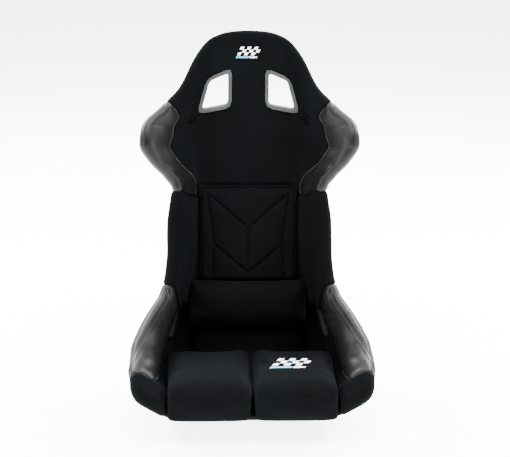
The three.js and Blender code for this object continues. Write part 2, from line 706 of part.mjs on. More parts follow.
// ---------------------------------------------------------------- head and upper back
// Below the wings' tops the cover ends at the wing seams; above them it turns over the shell's edge.
const UPPER_COLUMNS = [-1, -0.75, -0.5, -0.25, 0, 0.25, 0.5, 0.75, 1];
const upperPlaces = rowsBetween(BACK_SEAM, WING_TOP - 0.1);
upperPlaces[upperPlaces.length - 1] = placeOf(WING_TOP);
const headPlaces = [placeOf(WING_TOP), placeOf(1080), placeOf(HEAD), ...ARCH_ROWS];
const upperEdge = (s) => wingSeam(s) - SEAM;
const upperRow = (at, inset, bed) => {
  const { s } = outline(at);
  return UPPER_COLUMNS.map((c) => {
    const t = c * upperEdge(s);
    return skin(s, t, bed ?? depth(s, t) - inset);
  });
};
function headRow(at, inset, bed, turned) {
  const innerT = upperEdge(WING_TOP) * outline(at).t;
  const { s, t } = outline(at);
  const halfRow = (side) => {
    const make =
      bed === undefined
        ? edgeRow(at, side, innerT, inset, turned)
        : bedRow(at, side, innerT, bed, turned);
    return make.slice(3);
  };
  const middle = UPPER_COLUMNS.map((c) => {
    const rise = bed ?? depth(s, c * t) - inset;
    return skin(s, c * upperEdge(WING_TOP) * t, rise);
  });
  return [...halfRow(-1).reverse(), ...middle, ...halfRow(1)];
}
const headCover = slab(
  headPlaces.map((at) => headRow(at, 0, undefined, true)),
  headPlaces.map((at) => headRow(at, CLOTH, undefined, true)),
);
const upperCover = slab(
  upperPlaces.map((at) => upperRow(at, 0)),
  upperPlaces.map((at) => upperRow(at, CLOTH)),
);
add("head_cover", cut(join(headCover, upperCover), ...shoulderCuts), finishes.fabric);
const headFoam = slab(
  headPlaces.map((at) => headRow(at, FOAM_INSET, undefined, false)),
  headPlaces.map((at) => headRow(at, 0, BED, false)),
);
add("head_foam", cut(headFoam, ...shoulderCuts), finishes.foam);
const upperFoamPlaces = [...upperPlaces.slice(0, -1), placeOf(WING_TOP - 1)];
const upperFoam = slab(
  upperFoamPlaces.map((at) => upperRow(at, FOAM_INSET)),
  upperFoamPlaces.map((at) => upperRow(at, 0, BED)),
);
add("upper_back_foam", cut(upperFoam, ...shoulderCuts), finishes.foam);

// ---------------------------------------------------------------- linings
// Thin padded cloth glued to the shell under the separate pads.
const LINING_BED = 2.6;
const LINING_HALF = [0.34, 0.44, 0.54, 0.64, 0.75, 0.87, 1];
const LINING_COLUMNS = [...LINING_HALF.map((c) => -c).reverse(), 0, ...LINING_HALF];
function lining(from, to, halfT) {
  const step = from < NOSE ? [26, 39, NOSE + 3, NOSE + 4] : [];
  const between = SIDE_ROWS.filter((s) => s > Math.max(from, NOSE) + 8 && s < to - 8);
  const layer = (rise) =>
    [from, ...step, ...between, to].map((s) =>
      LINING_COLUMNS.map((c) => skin(s, c * halfT(s), rise(s, c * halfT(s)))),
    );
  return slab(layer(depth), layer(() => LINING_BED));
}
const backHalf = (s) => sideSeam(Math.min(s, WING_FOOT)) - 2 * SEAM;
const backLining = lining(HIP + 2, BACK_SEAM - 4, backHalf);
add("back_lining", cut(backLining, ...lapCuts), finishes.fabric);
const seatEdge = (s) => (s < NOSE + 3.5 ? NOSE_INNER : bolsterSeam(s));
const seatHalf = (s) => seatEdge(s) - 8 * SEAM;
const seatLining = lining(LIP_TRIM + 4, HIP - 4, seatHalf);
add("seat_lining", cut(seatLining, strapCut, ...lapCuts), finishes.fabric);

// ---------------------------------------------------------------- trims
// The rubber channel over the front lip, and the strip that hides the covers' cut edge on the back.
function lipRow(t, wall) {
  const forward = surface(0, t).sub(surface(1, t)).normalize();
  const up = normal(0.6, t);
  const lip = surface(0, t);
  const row = [skin(LIP_TRIM, t, wall)];
  for (const angle of ROUND) {
    row.push(
      lip
        .clone()
        .addScaledVector(up, -SHELL / 2 + (SHELL / 2 + wall) * Math.cos(angle))
        .addScaledVector(forward, (wall + 0.6) * Math.sin(angle)),
    );
  }
  row.push(skin(LIP_TRIM, t, -SHELL - wall));
  return row;
}
const lipEnds = HALF_COLUMNS.map((c) => Math.min(c * (1 - NOSE_T), NOSE_INNER - 0.02)).slice(0, -1);
const lipPlaces = [...lipEnds.slice(1).reverse().map((t) => -t), ...lipEnds];
const lipTrim = slab(
  lipPlaces.map((t) => lipRow(t, LIP_RUBBER.outer)),
  lipPlaces.map((t) => lipRow(t, LIP_RUBBER.inner)),
);
add("front_lip_trim", lipTrim, finishes.rubber);

const hemPlaces = [...spread(3, 0.05, 0.9), ...SIDE_ROWS.map(placeOf), ...headPlaces.slice(3)];
function hemPoints(distance, rise) {
  const along = (side) => hemPlaces.map((at) => turnedIn(rim(at, side), side, distance, rise));
  return [...along(-1), ...along(1).reverse().slice(1)];
}
const paired = (a, b) => a.map((point, i) => [point, b[i]]);
const hemStrip = slab(
  paired(hemPoints(HEM.from, -SHELL - HEM.rise), hemPoints(HEM.to, -SHELL - HEM.rise)),
  paired(hemPoints(HEM.from, -SHELL - LINING_BED), hemPoints(HEM.to, -SHELL - LINING_BED)),
);
add("hem_trim", hemStrip, finishes.rubber);

// ---------------------------------------------------------------- separate pads
// A pad is drawn as a floor that it lies on and a roof above it. How far each point has risen from the
// floor to the roof is the product of a row's and a column's rise, so its rim is upright. The cover is
// open underneath, and the foam is the same shape with every face drawn in by a margin.
const RESTS = 3; // the pads' undersides above the lining, which leaves room for the tapes
const FOAM_MARGIN = CLOTH + 1.5;
function raised(rows, columns, floorAt, roofAt, margin = 0) {
  return rows.map((row) =>
    columns.map((column) => {
      const roof = roofAt(row, column, margin);
      return floorAt(row, column).lerp(roof, row.rise * column.rise);
    }),
  );
}
function addPad(name, rows, columns, floorAt, roofAt) {
  const shape = (margin) => {
    const xs = columns.map(({ x }) => x);
    const low = Math.min(...xs) + margin;
    const high = Math.max(...xs) - margin;
    const drawnRows = rows.map((row) => ({
      ...row,
      s: clamp(row.s, rows.from + margin, rows.to - margin),
    }));
    const drawnColumns = columns.map((column) => ({ ...column, x: clamp(column.x, low, high) }));
    return { rows: drawnRows, columns: drawnColumns };
  };
  const draw = (margin) => {
    const drawn = shape(margin);
    return raised(drawn.rows, drawn.columns, floorAt, roofAt, margin);
  };
  add(`${name}_cover`, slab(draw(0), draw(CLOTH)), finishes.fabric);
  const drawn = shape(FOAM_MARGIN);
  const core = { rows: drawn.rows.slice(1, -1), columns: drawn.columns.slice(1, -1) };
  const floor = core.rows.map((row) => core.columns.map((column) => floorAt(row, column)));
  const roof = raised(core.rows, core.columns, floorAt, roofAt, FOAM_MARGIN);
  add(`${name}_foam`, slab(roof, floor), finishes.foam);
}

// A flat pad on the spine between two stations.
function addSpinePad(name, { from, to, halfWidth, thickness }, rowShape, columnShape) {
  const rows = rowShape.map(([f, rise]) => ({ s: mix(from, to, f), rise }));
  Object.assign(rows, { from, to });
  const columns = columnShape.map(([f, rise]) => ({ x: f * halfWidth, rise }));
  const floorAt = ({ s }, { x }) => {
    const t = across(s, x);
    return skin(s, t, depth(s, t) + RESTS);
  };
  const roofAt = ({ s }, { x }, margin) =>
    spine(s)
      .addScaledVector(normal(s, 0), depth(s, 0) + RESTS + thickness - margin)
      .add(V(x, 0, 0));
  addPad(name, rows, columns, floorAt, roofAt);
}
const mirroredShape = (half) => [...half.map(([f, rise]) => [-f, rise]), [0, 1], ...half.slice().reverse()];
const FLAT_ROWS = [[0, 0], [0, 0.8], [0.05, 1], [0.35, 1], [0.65, 1], [0.95, 1], [1, 0.8], [1, 0]];
const FLAT_COLUMNS = mirroredShape([[1, 0], [1, 0.8], [0.93, 1], [0.45, 1]]);
const ROLL_ROWS = [[0, 0], [0, 0.5], [0.13, 0.85], [0.36, 1], [0.64, 1], [0.87, 0.85], [1, 0.5], [1, 0]];
const ROLL_COLUMNS = mirroredShape([[1, 0], [1, 0.7], [0.94, 0.94], [0.5, 1]]);
addSpinePad("lower_back_pad", BACK_PAD, FLAT_ROWS, FLAT_COLUMNS);
addSpinePad("lumbar_pad", LUMBAR, ROLL_ROWS, ROLL_COLUMNS);
addSpinePad("seat_pad", SEAT_PAD, FLAT_ROWS, FLAT_COLUMNS);

// The two thigh cushions lie on the lining and stand out over the lip. The last rows are ahead of it:
// how far their floor is ahead of the lip and below the lining, and how far their roof is behind and
// below the front top.
const CUSHION_ROWS = [
  { s: CUSHION.rear, rise: 0 },
  { s: CUSHION.rear, rise: 0.85 },
  { s: 210, rise: 1 },
  { s: 150, rise: 1 },
  { s: 90, rise: 1 },
  { s: 40, rise: 1 },
  { s: LIP_TRIM + 5, rise: 1 },
  { s: 0, ahead: 12, fall: 0, back: 4, drop: 8, rise: 1 },
  { s: 0, ahead: 15, fall: 6, back: 0, drop: 34, rise: 1 },
  { s: 0, ahead: 19, fall: 12, back: 0, drop: 62, rise: 0.85 },
  { s: 0, ahead: 22, fall: 18, back: 0, drop: 80, rise: 0 },
];
Object.assign(CUSHION_ROWS, { from: -Infinity, to: CUSHION.rear });
const CUSHION_COLUMNS = [
  { f: 0, rise: 0 },
  { f: 0, rise: 0.9 },
  { f: 0.05, rise: 1 },
  { f: 0.35, rise: 1 },
  { f: 0.65, rise: 1 },
  { f: 0.88, rise: 0.98 },
  { f: 1, rise: 0.8 },
  { f: 1, rise: 0 },
];
function addCushion(side, word) {
  const columns = CUSHION_COLUMNS.map(({ f, rise }) => ({
    x: side * mix(CUSHION.inner, CUSHION.outer, f),
    rise,
  }));
  const floorAt = ({ s, ahead, fall }, { x }) => {
    const t = across(s, x);
    const point = skin(s, t, depth(s, t) + RESTS);
    return ahead ? V(x, LIP.y - ahead, point.z + 1 - fall) : point;
  };
  const roofAt = ({ s, ahead, back, drop }, { x }, margin) =>
    ahead
      ? V(x, CUSHION.front + back + margin, CUSHION.top - drop - margin)
      : V(x, spine(s).y, CUSHION.top - margin);
  addPad(`thigh_cushion_${word}`, CUSHION_ROWS, columns, floorAt, roofAt);
}
for (const { side, word } of SIDES) addCushion(side, word);

// ---------------------------------------------------------------- tapes
// Strips of hook-and-loop tape on the linings hold the pads that lift out.
function tape(fromS, toS, fromX, toX) {
  const rows = spread(Math.ceil((toS - fromS) / 45), fromS, toS);
  const layer = (rise) =>
    rows.map((s) => spread(3, fromX, toX).map((x) => skin(s, across(s, x), depth(s, across(s, x)) + rise)));
  return slab(layer(RESTS - 0.6), layer(0.5));
}
add("lumbar_tape_lower", tape(482, 502, -100, 100), finishes.tape);
add("lumbar_tape_upper", tape(548, 568, -90, 90), finishes.tape);
add("thigh_tape_left", tape(60, 200, -85, -60), finishes.tape);
add("thigh_tape_right", tape(60, 200, 60, 85), finishes.tape);

// The origin is under the middle of the seat, on the plane of its lowest point.
const box = new THREE.Box3().setFromObject(seat);
seat.position.set(0, -(box.min.y + box.max.y) / 2, -box.min.z);

export default seat;
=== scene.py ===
"""The look of a fixed-back racing seat: its upholstery, pads, stitching and finishes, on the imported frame.

Lengths inside the script are millimetres in the seat's design frame, and points() turns them into metres
in the row frame. A place on the seat is s, the length along the spine from the front lip, and t, the
fraction of the way round the section from the middle (0) to the shell's edge (-1 left, 1 right).
"""
import math

import bmesh
import bpy
import numpy as np
from mathutils import Matrix, Vector
from mathutils.bvhtree import BVHTree


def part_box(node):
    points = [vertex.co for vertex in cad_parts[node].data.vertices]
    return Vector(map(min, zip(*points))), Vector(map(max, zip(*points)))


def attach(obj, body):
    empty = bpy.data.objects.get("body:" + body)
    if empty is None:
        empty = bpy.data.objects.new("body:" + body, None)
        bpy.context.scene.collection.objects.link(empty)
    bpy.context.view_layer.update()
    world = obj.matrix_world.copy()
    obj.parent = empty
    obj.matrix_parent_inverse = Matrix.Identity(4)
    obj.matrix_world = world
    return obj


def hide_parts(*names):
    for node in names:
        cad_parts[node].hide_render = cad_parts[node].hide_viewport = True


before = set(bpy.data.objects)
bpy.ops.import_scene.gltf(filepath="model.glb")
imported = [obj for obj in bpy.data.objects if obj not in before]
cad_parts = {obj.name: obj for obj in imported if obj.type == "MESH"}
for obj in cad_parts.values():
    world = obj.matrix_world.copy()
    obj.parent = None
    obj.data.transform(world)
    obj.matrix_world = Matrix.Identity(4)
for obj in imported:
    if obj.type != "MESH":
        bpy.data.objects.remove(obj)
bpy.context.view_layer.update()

# ---------------------------------------------------------------- the shell's surface
LIP_Y, LIP_Z, LIP_HEADING = -250, 60, -14
STRETCHES = [(207, 0), (60, 14), (20, 0), (125, 74), (245, 4), (245, 4), (220, 3), (96, 2)]
LENGTH = sum(length for length, _ in STRETCHES)
SHELL = 4
SIDES = ((-1, "left"), (1, "right"))
BACKING = SHELL + 4.6
WRAP = 28
COVER, LINING = 1.8, 1.2  # thickness of a padded cover and of a glued lining
DEEPEST = -3.6  # where two seams meet, a cover is drawn in no further than this
OVERHANG = 0.45  # how far a cover stands off the edge, as a share of its depth there
# The edge's x was brought to the photo's outline with a scratch script; report.md says more.
SECTIONS = np.array([
    # s, half-width of the flat, corner radius, edge x, y, z
    (0, 166, 80, 284, -246, 118),
    (40, 140, 77, 276, -221, 132),
    (80, 134, 77, 281, -192, 148),
    (170, 131, 74, 280, -135, 174),
    (260, 130, 73, 266, -78, 200),
    (330, 132, 72, 245, -35, 228),
    (410, 136, 68, 217, 5, 262),
    (500, 120, 62, 202, 38, 305),
    (600, 106, 60, 197, 62, 360),
    (700, 100, 58, 196, 80, 425),
    (780, 100, 58, 187, 92, 487),
    (812, 100, 58, 184, 96, 513),
    (845, 102, 60, 203, 98, 543),
    (890, 104, 60, 238, 95, 585),
    (935, 106, 62, 260, 98, 625),
    (980, 104, 62, 255, 118, 660),
    (1030, 100, 60, 213, 155, 698),
    (1080, 96, 54, 168, 192, 738),
    (1130, 90, 44, 144, 215, 780),
    (1170, 84, 36, 131, 226, 816),
    (1218, 80, 30, 122, 234, 862),
], float)
NOSE, NOSE_T, HEAD, ARCH = 52, 0.13, 1120, 0.8
HIP, WING_FOOT, BACK_SEAM, WING_TOP = 455, 803, 835, 1043
NOSE_INNER = 0.76
NOSE_TAIL = 22  # how far the nose's fabric goes on behind the shell
NOSE_DRAWN_ON = 0.065  # how far the nose's fabric goes on along the lip past its foam
NOSE_INSIDE = 204  # where the cushion's side stops that fabric, as a distance from the middle
CUSHION_FRONT, CUSHION_TOP = -279, 143

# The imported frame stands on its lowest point, so the design frame is moved by what one box shows.
low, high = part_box("thigh_cushion_left_cover")
SHIFT = np.array([0, low.y * 1000 - CUSHION_FRONT, high.z * 1000 - CUSHION_TOP])


def points(design):
    """Millimetres in the design frame to metres in the row frame."""
    return (np.asarray(design, float) + SHIFT) / 1000


def through(xs, ys):
    """A monotone cubic through the given values."""
    xs, ys = np.asarray(xs, float), np.asarray(ys, float)
    step = np.diff(xs)
    rise = np.diff(ys) / step
    slope = np.zeros_like(xs)
    slope[0], slope[-1] = rise[0], rise[-1]
    for i in range(1, len(xs) - 1):
        if rise[i - 1] * rise[i] > 0:
            w1 = 2 * step[i] + step[i - 1]
            w2 = step[i] + 2 * step[i - 1]
            slope[i] = (w1 + w2) / (w1 / rise[i - 1] + w2 / rise[i])

    def curve(x):
        x = np.asarray(x, float)
        i = np.clip(np.searchsorted(xs, x, side="left") - 1, 0, len(step) - 1)
        f = (x - xs[i]) / step[i]
        f2, f3 = f * f, f * f * f
        return (
            ys[i] * (2 * f3 - 3 * f2 + 1)
            + step[i] * slope[i] * (f3 - 2 * f2 + f)
            + ys[i + 1] * (3 * f2 - 2 * f3)
            + step[i] * slope[i + 1] * (f3 - f2)
        )

    return curve


def smooth(x):
    f = np.clip(x, 0, 1)
    return f * f * (3 - 2 * f)


def spine_table():
    y, z, heading = [LIP_Y], [LIP_Z], LIP_HEADING
    for length, turn in STRETCHES:
        for _ in range(length):
            middle = math.radians(heading + turn / length / 2)
            y.append(y[-1] + math.cos(middle))
            z.append(z[-1] + math.sin(middle))
            heading += turn / length
    return np.array(y), np.array(z)


SPINE_Y, SPINE_Z = spine_table()
STATIONS = np.arange(LENGTH + 1)
flat_at, corner_at, edge_x, edge_y, edge_z = (through(SECTIONS[:, 0], SECTIONS[:, k]) for k in range(1, 6))


def section(s):
    mid_y, mid_z = np.interp(s, STATIONS, SPINE_Y), np.interp(s, STATIONS, SPINE_Z)
    flat, radius = flat_at(s), corner_at(s)
    x, y, z = edge_x(s), edge_y(s), edge_z(s)
    height = np.hypot(mid_y - y, z - mid_z)
    lean = np.arctan2(mid_y - y, z - mid_z)
    reach = np.hypot(height - radius, x - flat)
    wall = np.sqrt(reach**2 - radius**2)
    bend = np.arctan2(height - radius, x - flat) + np.arctan2(radius, wall)
    return mid_y, mid_z, flat, radius, lean, bend, flat + radius * bend + wall


def surface(s, t):
    s, t = np.broadcast_arrays(np.asarray(s, float), np.asarray(t, float))
    mid_y, mid_z, flat, radius, lean, bend, half = section(s)
    along = np.abs(t) * half
    turned = np.clip((along - flat) / radius, 0, bend)
    up = np.maximum(along - flat - radius * bend, 0)
    x = np.minimum(along, flat) + radius * np.sin(turned) + up * np.cos(bend)
    rise = radius * (1 - np.cos(turned)) + up * np.sin(bend)
    return np.stack([np.sign(t) * x, mid_y - rise * np.sin(lean), mid_z + rise * np.cos(lean)], -1)


def unit(v):
    return v / np.maximum(np.linalg.norm(v, axis=-1, keepdims=True), 1e-12)


def normal(s, t):
    s, t = np.broadcast_arrays(np.asarray(s, float), np.asarray(t, float))
    across = surface(s, t + 0.002) - surface(s, t - 0.002)
    along = surface(np.minimum(s + 0.5, LENGTH), t) - surface(np.maximum(s - 0.5, 0), t)
    return unit(np.cross(across, along))


def skin(s, t, rise=0.0):
    rise = np.asarray(rise, float)
    return surface(s, t) + normal(s, t) * rise[..., None]


def half_of(s):
    return section(np.asarray(s, float))[-1]


def t_at(s, x):
    """The t at which the surface has this x."""
    s, x = np.broadcast_arrays(np.asarray(s, float), np.asarray(x, float))
    low_t, high_t = np.zeros(s.shape), np.ones(s.shape)
    for _ in range(26):
        middle = (low_t + high_t) / 2
        inside = surface(s, middle)[..., 0] < np.abs(x)
        low_t, high_t = np.where(inside, middle, low_t), np.where(inside, high_t, middle)
    return np.sign(x) * low_t


def outline(place):
    place = np.asarray(place, float)
    corner = np.clip(place, 0, 1) * math.pi / 2
    arch = np.clip(place - 2, 0, 1) * math.pi / 2
    s = np.where(place < 1, NOSE * (1 - np.cos(corner)), NOSE + (HEAD - NOSE) * (place - 1))
    s = np.where(place < 2, s, HEAD + (LENGTH - HEAD) * np.sin(arch) ** ARCH)
    t = np.where(place < 1, 1 - NOSE_T + NOSE_T * np.sin(corner), 1.0)
    t = np.where(place < 2, t, np.maximum(np.cos(arch), 0) ** ARCH)
    return s, t


def place_of(s):
    return 1 + (np.asarray(s, float) - NOSE) / (HEAD - NOSE)


def rim(place, side):
    """At places on the outline: s, t, the edge, the direction to the driver and the one off the edge."""
    place = np.asarray(place, float)
    s, t = outline(place)
    before, after = outline(np.maximum(place - 0.004, 0)), outline(np.minimum(place + 0.004, 3))
    inward = normal(s, side * t * 0.995)
    run = surface(after[0], side * after[1]) - surface(before[0], side * before[1])
    return s, t, surface(s, side * t), inward, unit(np.cross(run, inward)) * side


middle_depth = through([0, 455, 740, 835, 900, 1218], [5, 5, 5.5, 12, 14, 14])
edge_depth = through(
    [0, 80, 170, 330, 410, 500, 700, 800, 860, 930, 1000, 1060, 1130, 1218],
    [34, 32, 32, 30, 26, 22, 20, 20, 24, 28, 24, 16, 12, 12],
)


def depth(s, t):
    """How thick the padding is over the shell."""
    start = np.where(np.asarray(s) < HIP, 0.66, 0.4)
    ramp = smooth((np.abs(t) - start) / 0.24)
    return middle_depth(s) * (1 - ramp) + edge_depth(s) * ramp


# The wing's and the bolster's seams hold numbers that a scratch script printed; report.md says more.
wing_seam = through([WING_FOOT, BACK_SEAM, 876, 924, 967, 1011, WING_TOP],
                    [0.56, 0.56, 0.755, 0.797, 0.756, 0.778, 0.97])
bolster_seam = through([NOSE, 85, 222, 328, 393, 440, HIP], [0.88, 0.82, 0.76, 0.785, 0.8, 0.9, 0.96])
side_seam = through([HIP, 600, WING_FOOT], [0.5, 0.47, 0.52])


# ---------------------------------------------------------------- procedural finishes
class Finish:
    """A node material built step by step."""

    def __init__(self, name, color, roughness, **inputs):
        self.material = bpy.data.materials.new(name)
        self.material.use_nodes = True
        self.tree = self.material.node_tree
        self.shader = self.tree.nodes["Principled BSDF"]
        self.shader.inputs["Base Color"].default_value = (*color, 1)
        self.shader.inputs["Roughness"].default_value = roughness
        for key, value in inputs.items():
            self.shader.inputs[key.replace("_", " ")].default_value = value
        self.where = self.tree.nodes.new("ShaderNodeTexCoord").outputs["Object"]
        self.bumped = None

    def node(self, kind, links=(), **settings):
        node = self.tree.nodes.new(kind)
        for key, value in settings.items():
            if hasattr(node, key):
                setattr(node, key, value)
            else:
                node.inputs[key.replace("_", " ")].default_value = value
        for socket, source in dict(links).items():
            self.tree.links.new(source, node.inputs[socket])
        return node

    def stretched(self, scale, turn=(0, 0, 0)):
        mapping = self.node("ShaderNodeMapping", {"Vector": self.where}, Scale=scale, Rotation=turn)
        return mapping.outputs["Vector"]

    def noise(self, scale, detail=4.0, vector=None):
        links = {"Vector": vector or self.where}
        return self.node("ShaderNodeTexNoise", links, Scale=scale, Detail=detail).outputs["Fac"]

    def cells(self, scale):
        links = {"Vector": self.where}
        node = self.node("ShaderNodeTexVoronoi", links, feature="DISTANCE_TO_EDGE", Scale=scale)
        return node.outputs["Distance"]

    def waves(self, scale, direction, distortion):
        node = self.node("ShaderNodeTexWave", {"Vector": self.where}, bands_direction=direction,
                         Scale=scale, Distortion=distortion)
        return node.outputs["Fac"]

    def math(self, operation, a, b):
        node = self.tree.nodes.new("ShaderNodeMath")
        node.operation = operation
        for socket, value in zip(node.inputs, (a, b)):
            if isinstance(value, (int, float)):
                socket.default_value = value
            else:
                self.tree.links.new(value, socket)
        return node.outputs[0]

    def ramp(self, fac, stops):
        node = self.node("ShaderNodeValToRGB", {"Fac": fac})
        elements = node.color_ramp.elements
        while len(elements) < len(stops):
            elements.new(0.5)
        for element, (at, color) in zip(elements, stops):
            element.position = at
            element.color = (*color, 1)
        return node.outputs["Color"]

    def paint(self, socket, source):
        self.tree.links.new(source, self.shader.inputs[socket])

    def bump(self, height, strength, distance):
        node = self.node("ShaderNodeBump", {"Height": height}, Strength=strength, Distance=distance)
        if self.bumped is not None:
            self.tree.links.new(self.bumped, node.inputs["Normal"])
        self.bumped = node.outputs["Normal"]
        self.tree.links.new(self.bumped, self.shader.inputs["Normal"])

    def vary(self, socket, fac, low_value, high_value):
        node = self.node("ShaderNodeMapRange", {"Value": fac}, To_Min=low_value, To_Max=high_value)
        self.paint(socket, node.outputs["Result"])


def fabric(name, base, lit):
    """Brushed knit: fine ribs one way, a cross rib the other, a short pile and soft blotches of colour."""
    f = Finish(name, base, 0.92, Specular_IOR_Level=0.015, Sheen_Weight=0.011, Sheen_Roughness=0.4,
               Sheen_Tint=(0.62, 0.78, 0.86, 1))
    pile = f.noise(1400, 3)
    cloud = f.noise(9, 3)
    rib = f.waves(420, "DIAGONAL", 1.2)
    cross = f.waves(420, "X", 1.2)
    knit = f.math("MULTIPLY", rib, cross)
    shade = f.math("MULTIPLY_ADD", pile, 0.5)
    f.tree.links.new(f.math("MULTIPLY", cloud, 0.6), shade.node.inputs[2])
    f.paint("Base Color", f.ramp(shade, [(0.25, base), (0.8, lit)]))
    f.vary("Roughness", knit, 0.84, 1.0)
    f.bump(knit, 0.35, 0.0004)
    f.bump(pile, 0.3, 0.0003)
    return f.material


def vinyl(name, base, lit):
    """Soft artificial leather: cell grain in two sizes, slow creases and rubbed, shinier patches."""
    f = Finish(name, base, 0.4, Specular_IOR_Level=0.12)
    grain = f.cells(560)
    fine = f.cells(1250)
    slow = f.noise(26, 5)
    crease = f.noise(70, 3, f.stretched((1.0, 0.35, 2.2), (0.3, 0.5, 0.2)))
    f.paint("Base Color", f.ramp(slow, [(0.3, base), (0.72, lit)]))
    f.vary("Roughness", slow, 0.36, 0.44)
    f.bump(slow, 0.05, 0.004)
    f.bump(crease, 0.07, 0.002)
    f.bump(f.math("MINIMUM", grain, 0.22), 0.2, 0.0009)
    f.bump(f.math("MINIMUM", fine, 0.2), 0.15, 0.0005)
    return f.material


def moulded(name, base, lit, roughness, grain=1600, gloss=0.3):
    """Moulded plastic or rubber: spark-eroded grain, slow gloss variation and paler rubbed spots."""
    f = Finish(name, base, roughness, Specular_IOR_Level=gloss)
    spark = f.noise(grain, 5)
    slow = f.noise(30, 4)
    f.paint("Base Color", f.ramp(slow, [(0.35, base), (0.7, lit)]))
    f.vary("Roughness", slow, roughness - 0.07, roughness + 0.1)
    f.bump(spark, 0.3, 0.0004)
    return f.material


def laminate(name):
    """Gel-coated glass mat: a satin black skin with the mat's strands showing through as a shallow relief."""
    f = Finish(name, (0.004, 0.0042, 0.0045), 0.5, Specular_IOR_Level=0.09)
    strands = f.noise(210, 6, f.stretched((1.0, 0.3, 0.3), (0.2, 0.1, 0.7)))
    more = f.noise(240, 6, f.stretched((0.3, 1.0, 0.4), (0.4, 0.8, 0.1)))
    mat = f.math("MULTIPLY", strands, more)
    slow = f.noise(6, 4)
    f.paint("Base Color", f.ramp(mat, [(0.1, (0.0018, 0.002, 0.0022)), (0.5, (0.0055, 0.0058, 0.0062))]))
    f.vary("Roughness", slow, 0.32, 0.48)
    f.bump(mat, 0.4, 0.0012)
    f.bump(slow, 0.06, 0.01)
    return f.material


def metal(name):
    """Zinc-plated steel with drawn lines."""
    f = Finish(name, (0.55, 0.56, 0.57), 0.38, Metallic=1.0)
    lines = f.noise(900, 3, f.stretched((0.04, 1.0, 1.0)))
    f.paint("Base Color", f.ramp(f.noise(40, 4), [(0.3, (0.42, 0.43, 0.45)), (0.7, (0.66, 0.66, 0.64))]))
    f.vary("Roughness", lines, 0.3, 0.5)
    f.bump(lines, 0.2, 0.0002)
    return f.material


def thread(name, base, lit):
    """Twisted thread."""
    f = Finish(name, base, 0.75, Sheen_Weight=0.3)
    ply = f.waves(1500, "DIAGONAL", 0.6)
    f.paint("Base Color", f.ramp(ply, [(0.2, base), (0.8, lit)]))
    f.bump(ply, 0.5, 0.0003)
    return f.material


CLOTH = fabric("brushed_knit", (0.0007, 0.0008, 0.0009), (0.0019, 0.0023, 0.0026))
VINYL = vinyl("soft_vinyl", (0.0018, 0.0019, 0.002), (0.0038, 0.0039, 0.0041))
FRAMES = moulded("grey_moulding", (0.012, 0.0126, 0.0132), (0.022, 0.023, 0.0242), 0.5, gloss=0.25)
# A darker copy of the grey moulding for the lap and crotch frames: painted shade, standing in for the shadow
# these frames sit in.
SHADE_DARKENED_FRAMES = moulded("shade_darkened_moulding", (0.003, 0.003, 0.0035), (0.007, 0.007, 0.0075), 0.85, gloss=0.05)
RUBBER = moulded("edge_rubber", (0.002, 0.002, 0.0023), (0.005, 0.005, 0.0054), 0.88, 900, 0.06)
LAMINATE = laminate("gel_coated_laminate")
STEEL = metal("plated_steel")
BLACK_THREAD = thread("black_thread", (0.008, 0.008, 0.009), (0.03, 0.031, 0.033))
WHITE_THREAD = thread("white_thread", (0.62, 0.63, 0.65), (0.85, 0.86, 0.88))
BLUE_THREAD = thread("blue_thread", (0.03, 0.25, 0.5), (0.06, 0.42, 0.75))
TAPE = fabric("loop_tape", (0.006, 0.006, 0.006), (0.02, 0.02, 0.021))


# ---------------------------------------------------------------- meshes
def linked(name, data):
    """A new object in the scene."""
    thing = bpy.data.objects.new(name, data)
    bpy.context.scene.collection.objects.link(thing)
    return thing


def closed_mesh(name, vertices, faces, weld, flat=None):
    """A mesh from points in the design frame, with corners closer than weld joined, edges shorter than flat
    dissolved and faces turned outwards."""
    mesh = bpy.data.meshes.new(name)
    mesh.from_pydata([tuple(p) for p in points(vertices)], [], [tuple(f) for f in faces])
    bm = bmesh.new()
    bm.from_mesh(mesh)
    bmesh.ops.remove_doubles(bm, verts=bm.verts, dist=weld)
    if flat:
        bmesh.ops.dissolve_degenerate(bm, edges=bm.edges, dist=flat)
    bmesh.ops.recalc_face_normals(bm, faces=bm.faces)
    bm.to_mesh(mesh)
    bm.free()
    return mesh


def smooth_faces(mesh):
    for polygon in mesh.polygons:
        polygon.use_smooth = True


def joined(parts):
    """Vertices and faces of several shapes as one list of each."""
    vertices, faces, used = [], [], 0
    for some_vertices, some_faces in parts:
        vertices.append(some_vertices)
        faces += [tuple(k + used for k in face) for face in some_faces]
        used += len(some_vertices)
    return np.concatenate(vertices), faces


def ring_faces(count, around):
    """The sides of a tube whose count rings of around points follow each other."""
    faces = []
    for i in range(count - 1):
        for j in range(around):
            k = (j + 1) % around
            faces.append((i * around + j, i * around + k, (i + 1) * around + k, (i + 1) * around + j))
    return faces


def finished(name, mesh, material, body, replaces):
    """A mesh as a piece, with its material, body and the CAD nodes that it stands for."""
    smooth_faces(mesh)
    piece = linked(name, mesh)
    mesh.materials.append(material)
    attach(piece, body)
    if replaces:
        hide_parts(*replaces)
    return piece


def build(name, vertices, faces, material, body="seat", replaces=()):
    """A piece from points in the design frame."""
    mesh = closed_mesh(name, vertices, faces, 1e-6, 1e-7)
    return finished(name, mesh, material, body, replaces)


def grid_normals(grid):
    """Unit normals of a grid of points, which face the driver where columns run to the right."""
    along = np.gradient(grid, axis=0)
    across = np.gradient(grid, axis=1)
    return unit(np.cross(across, along))


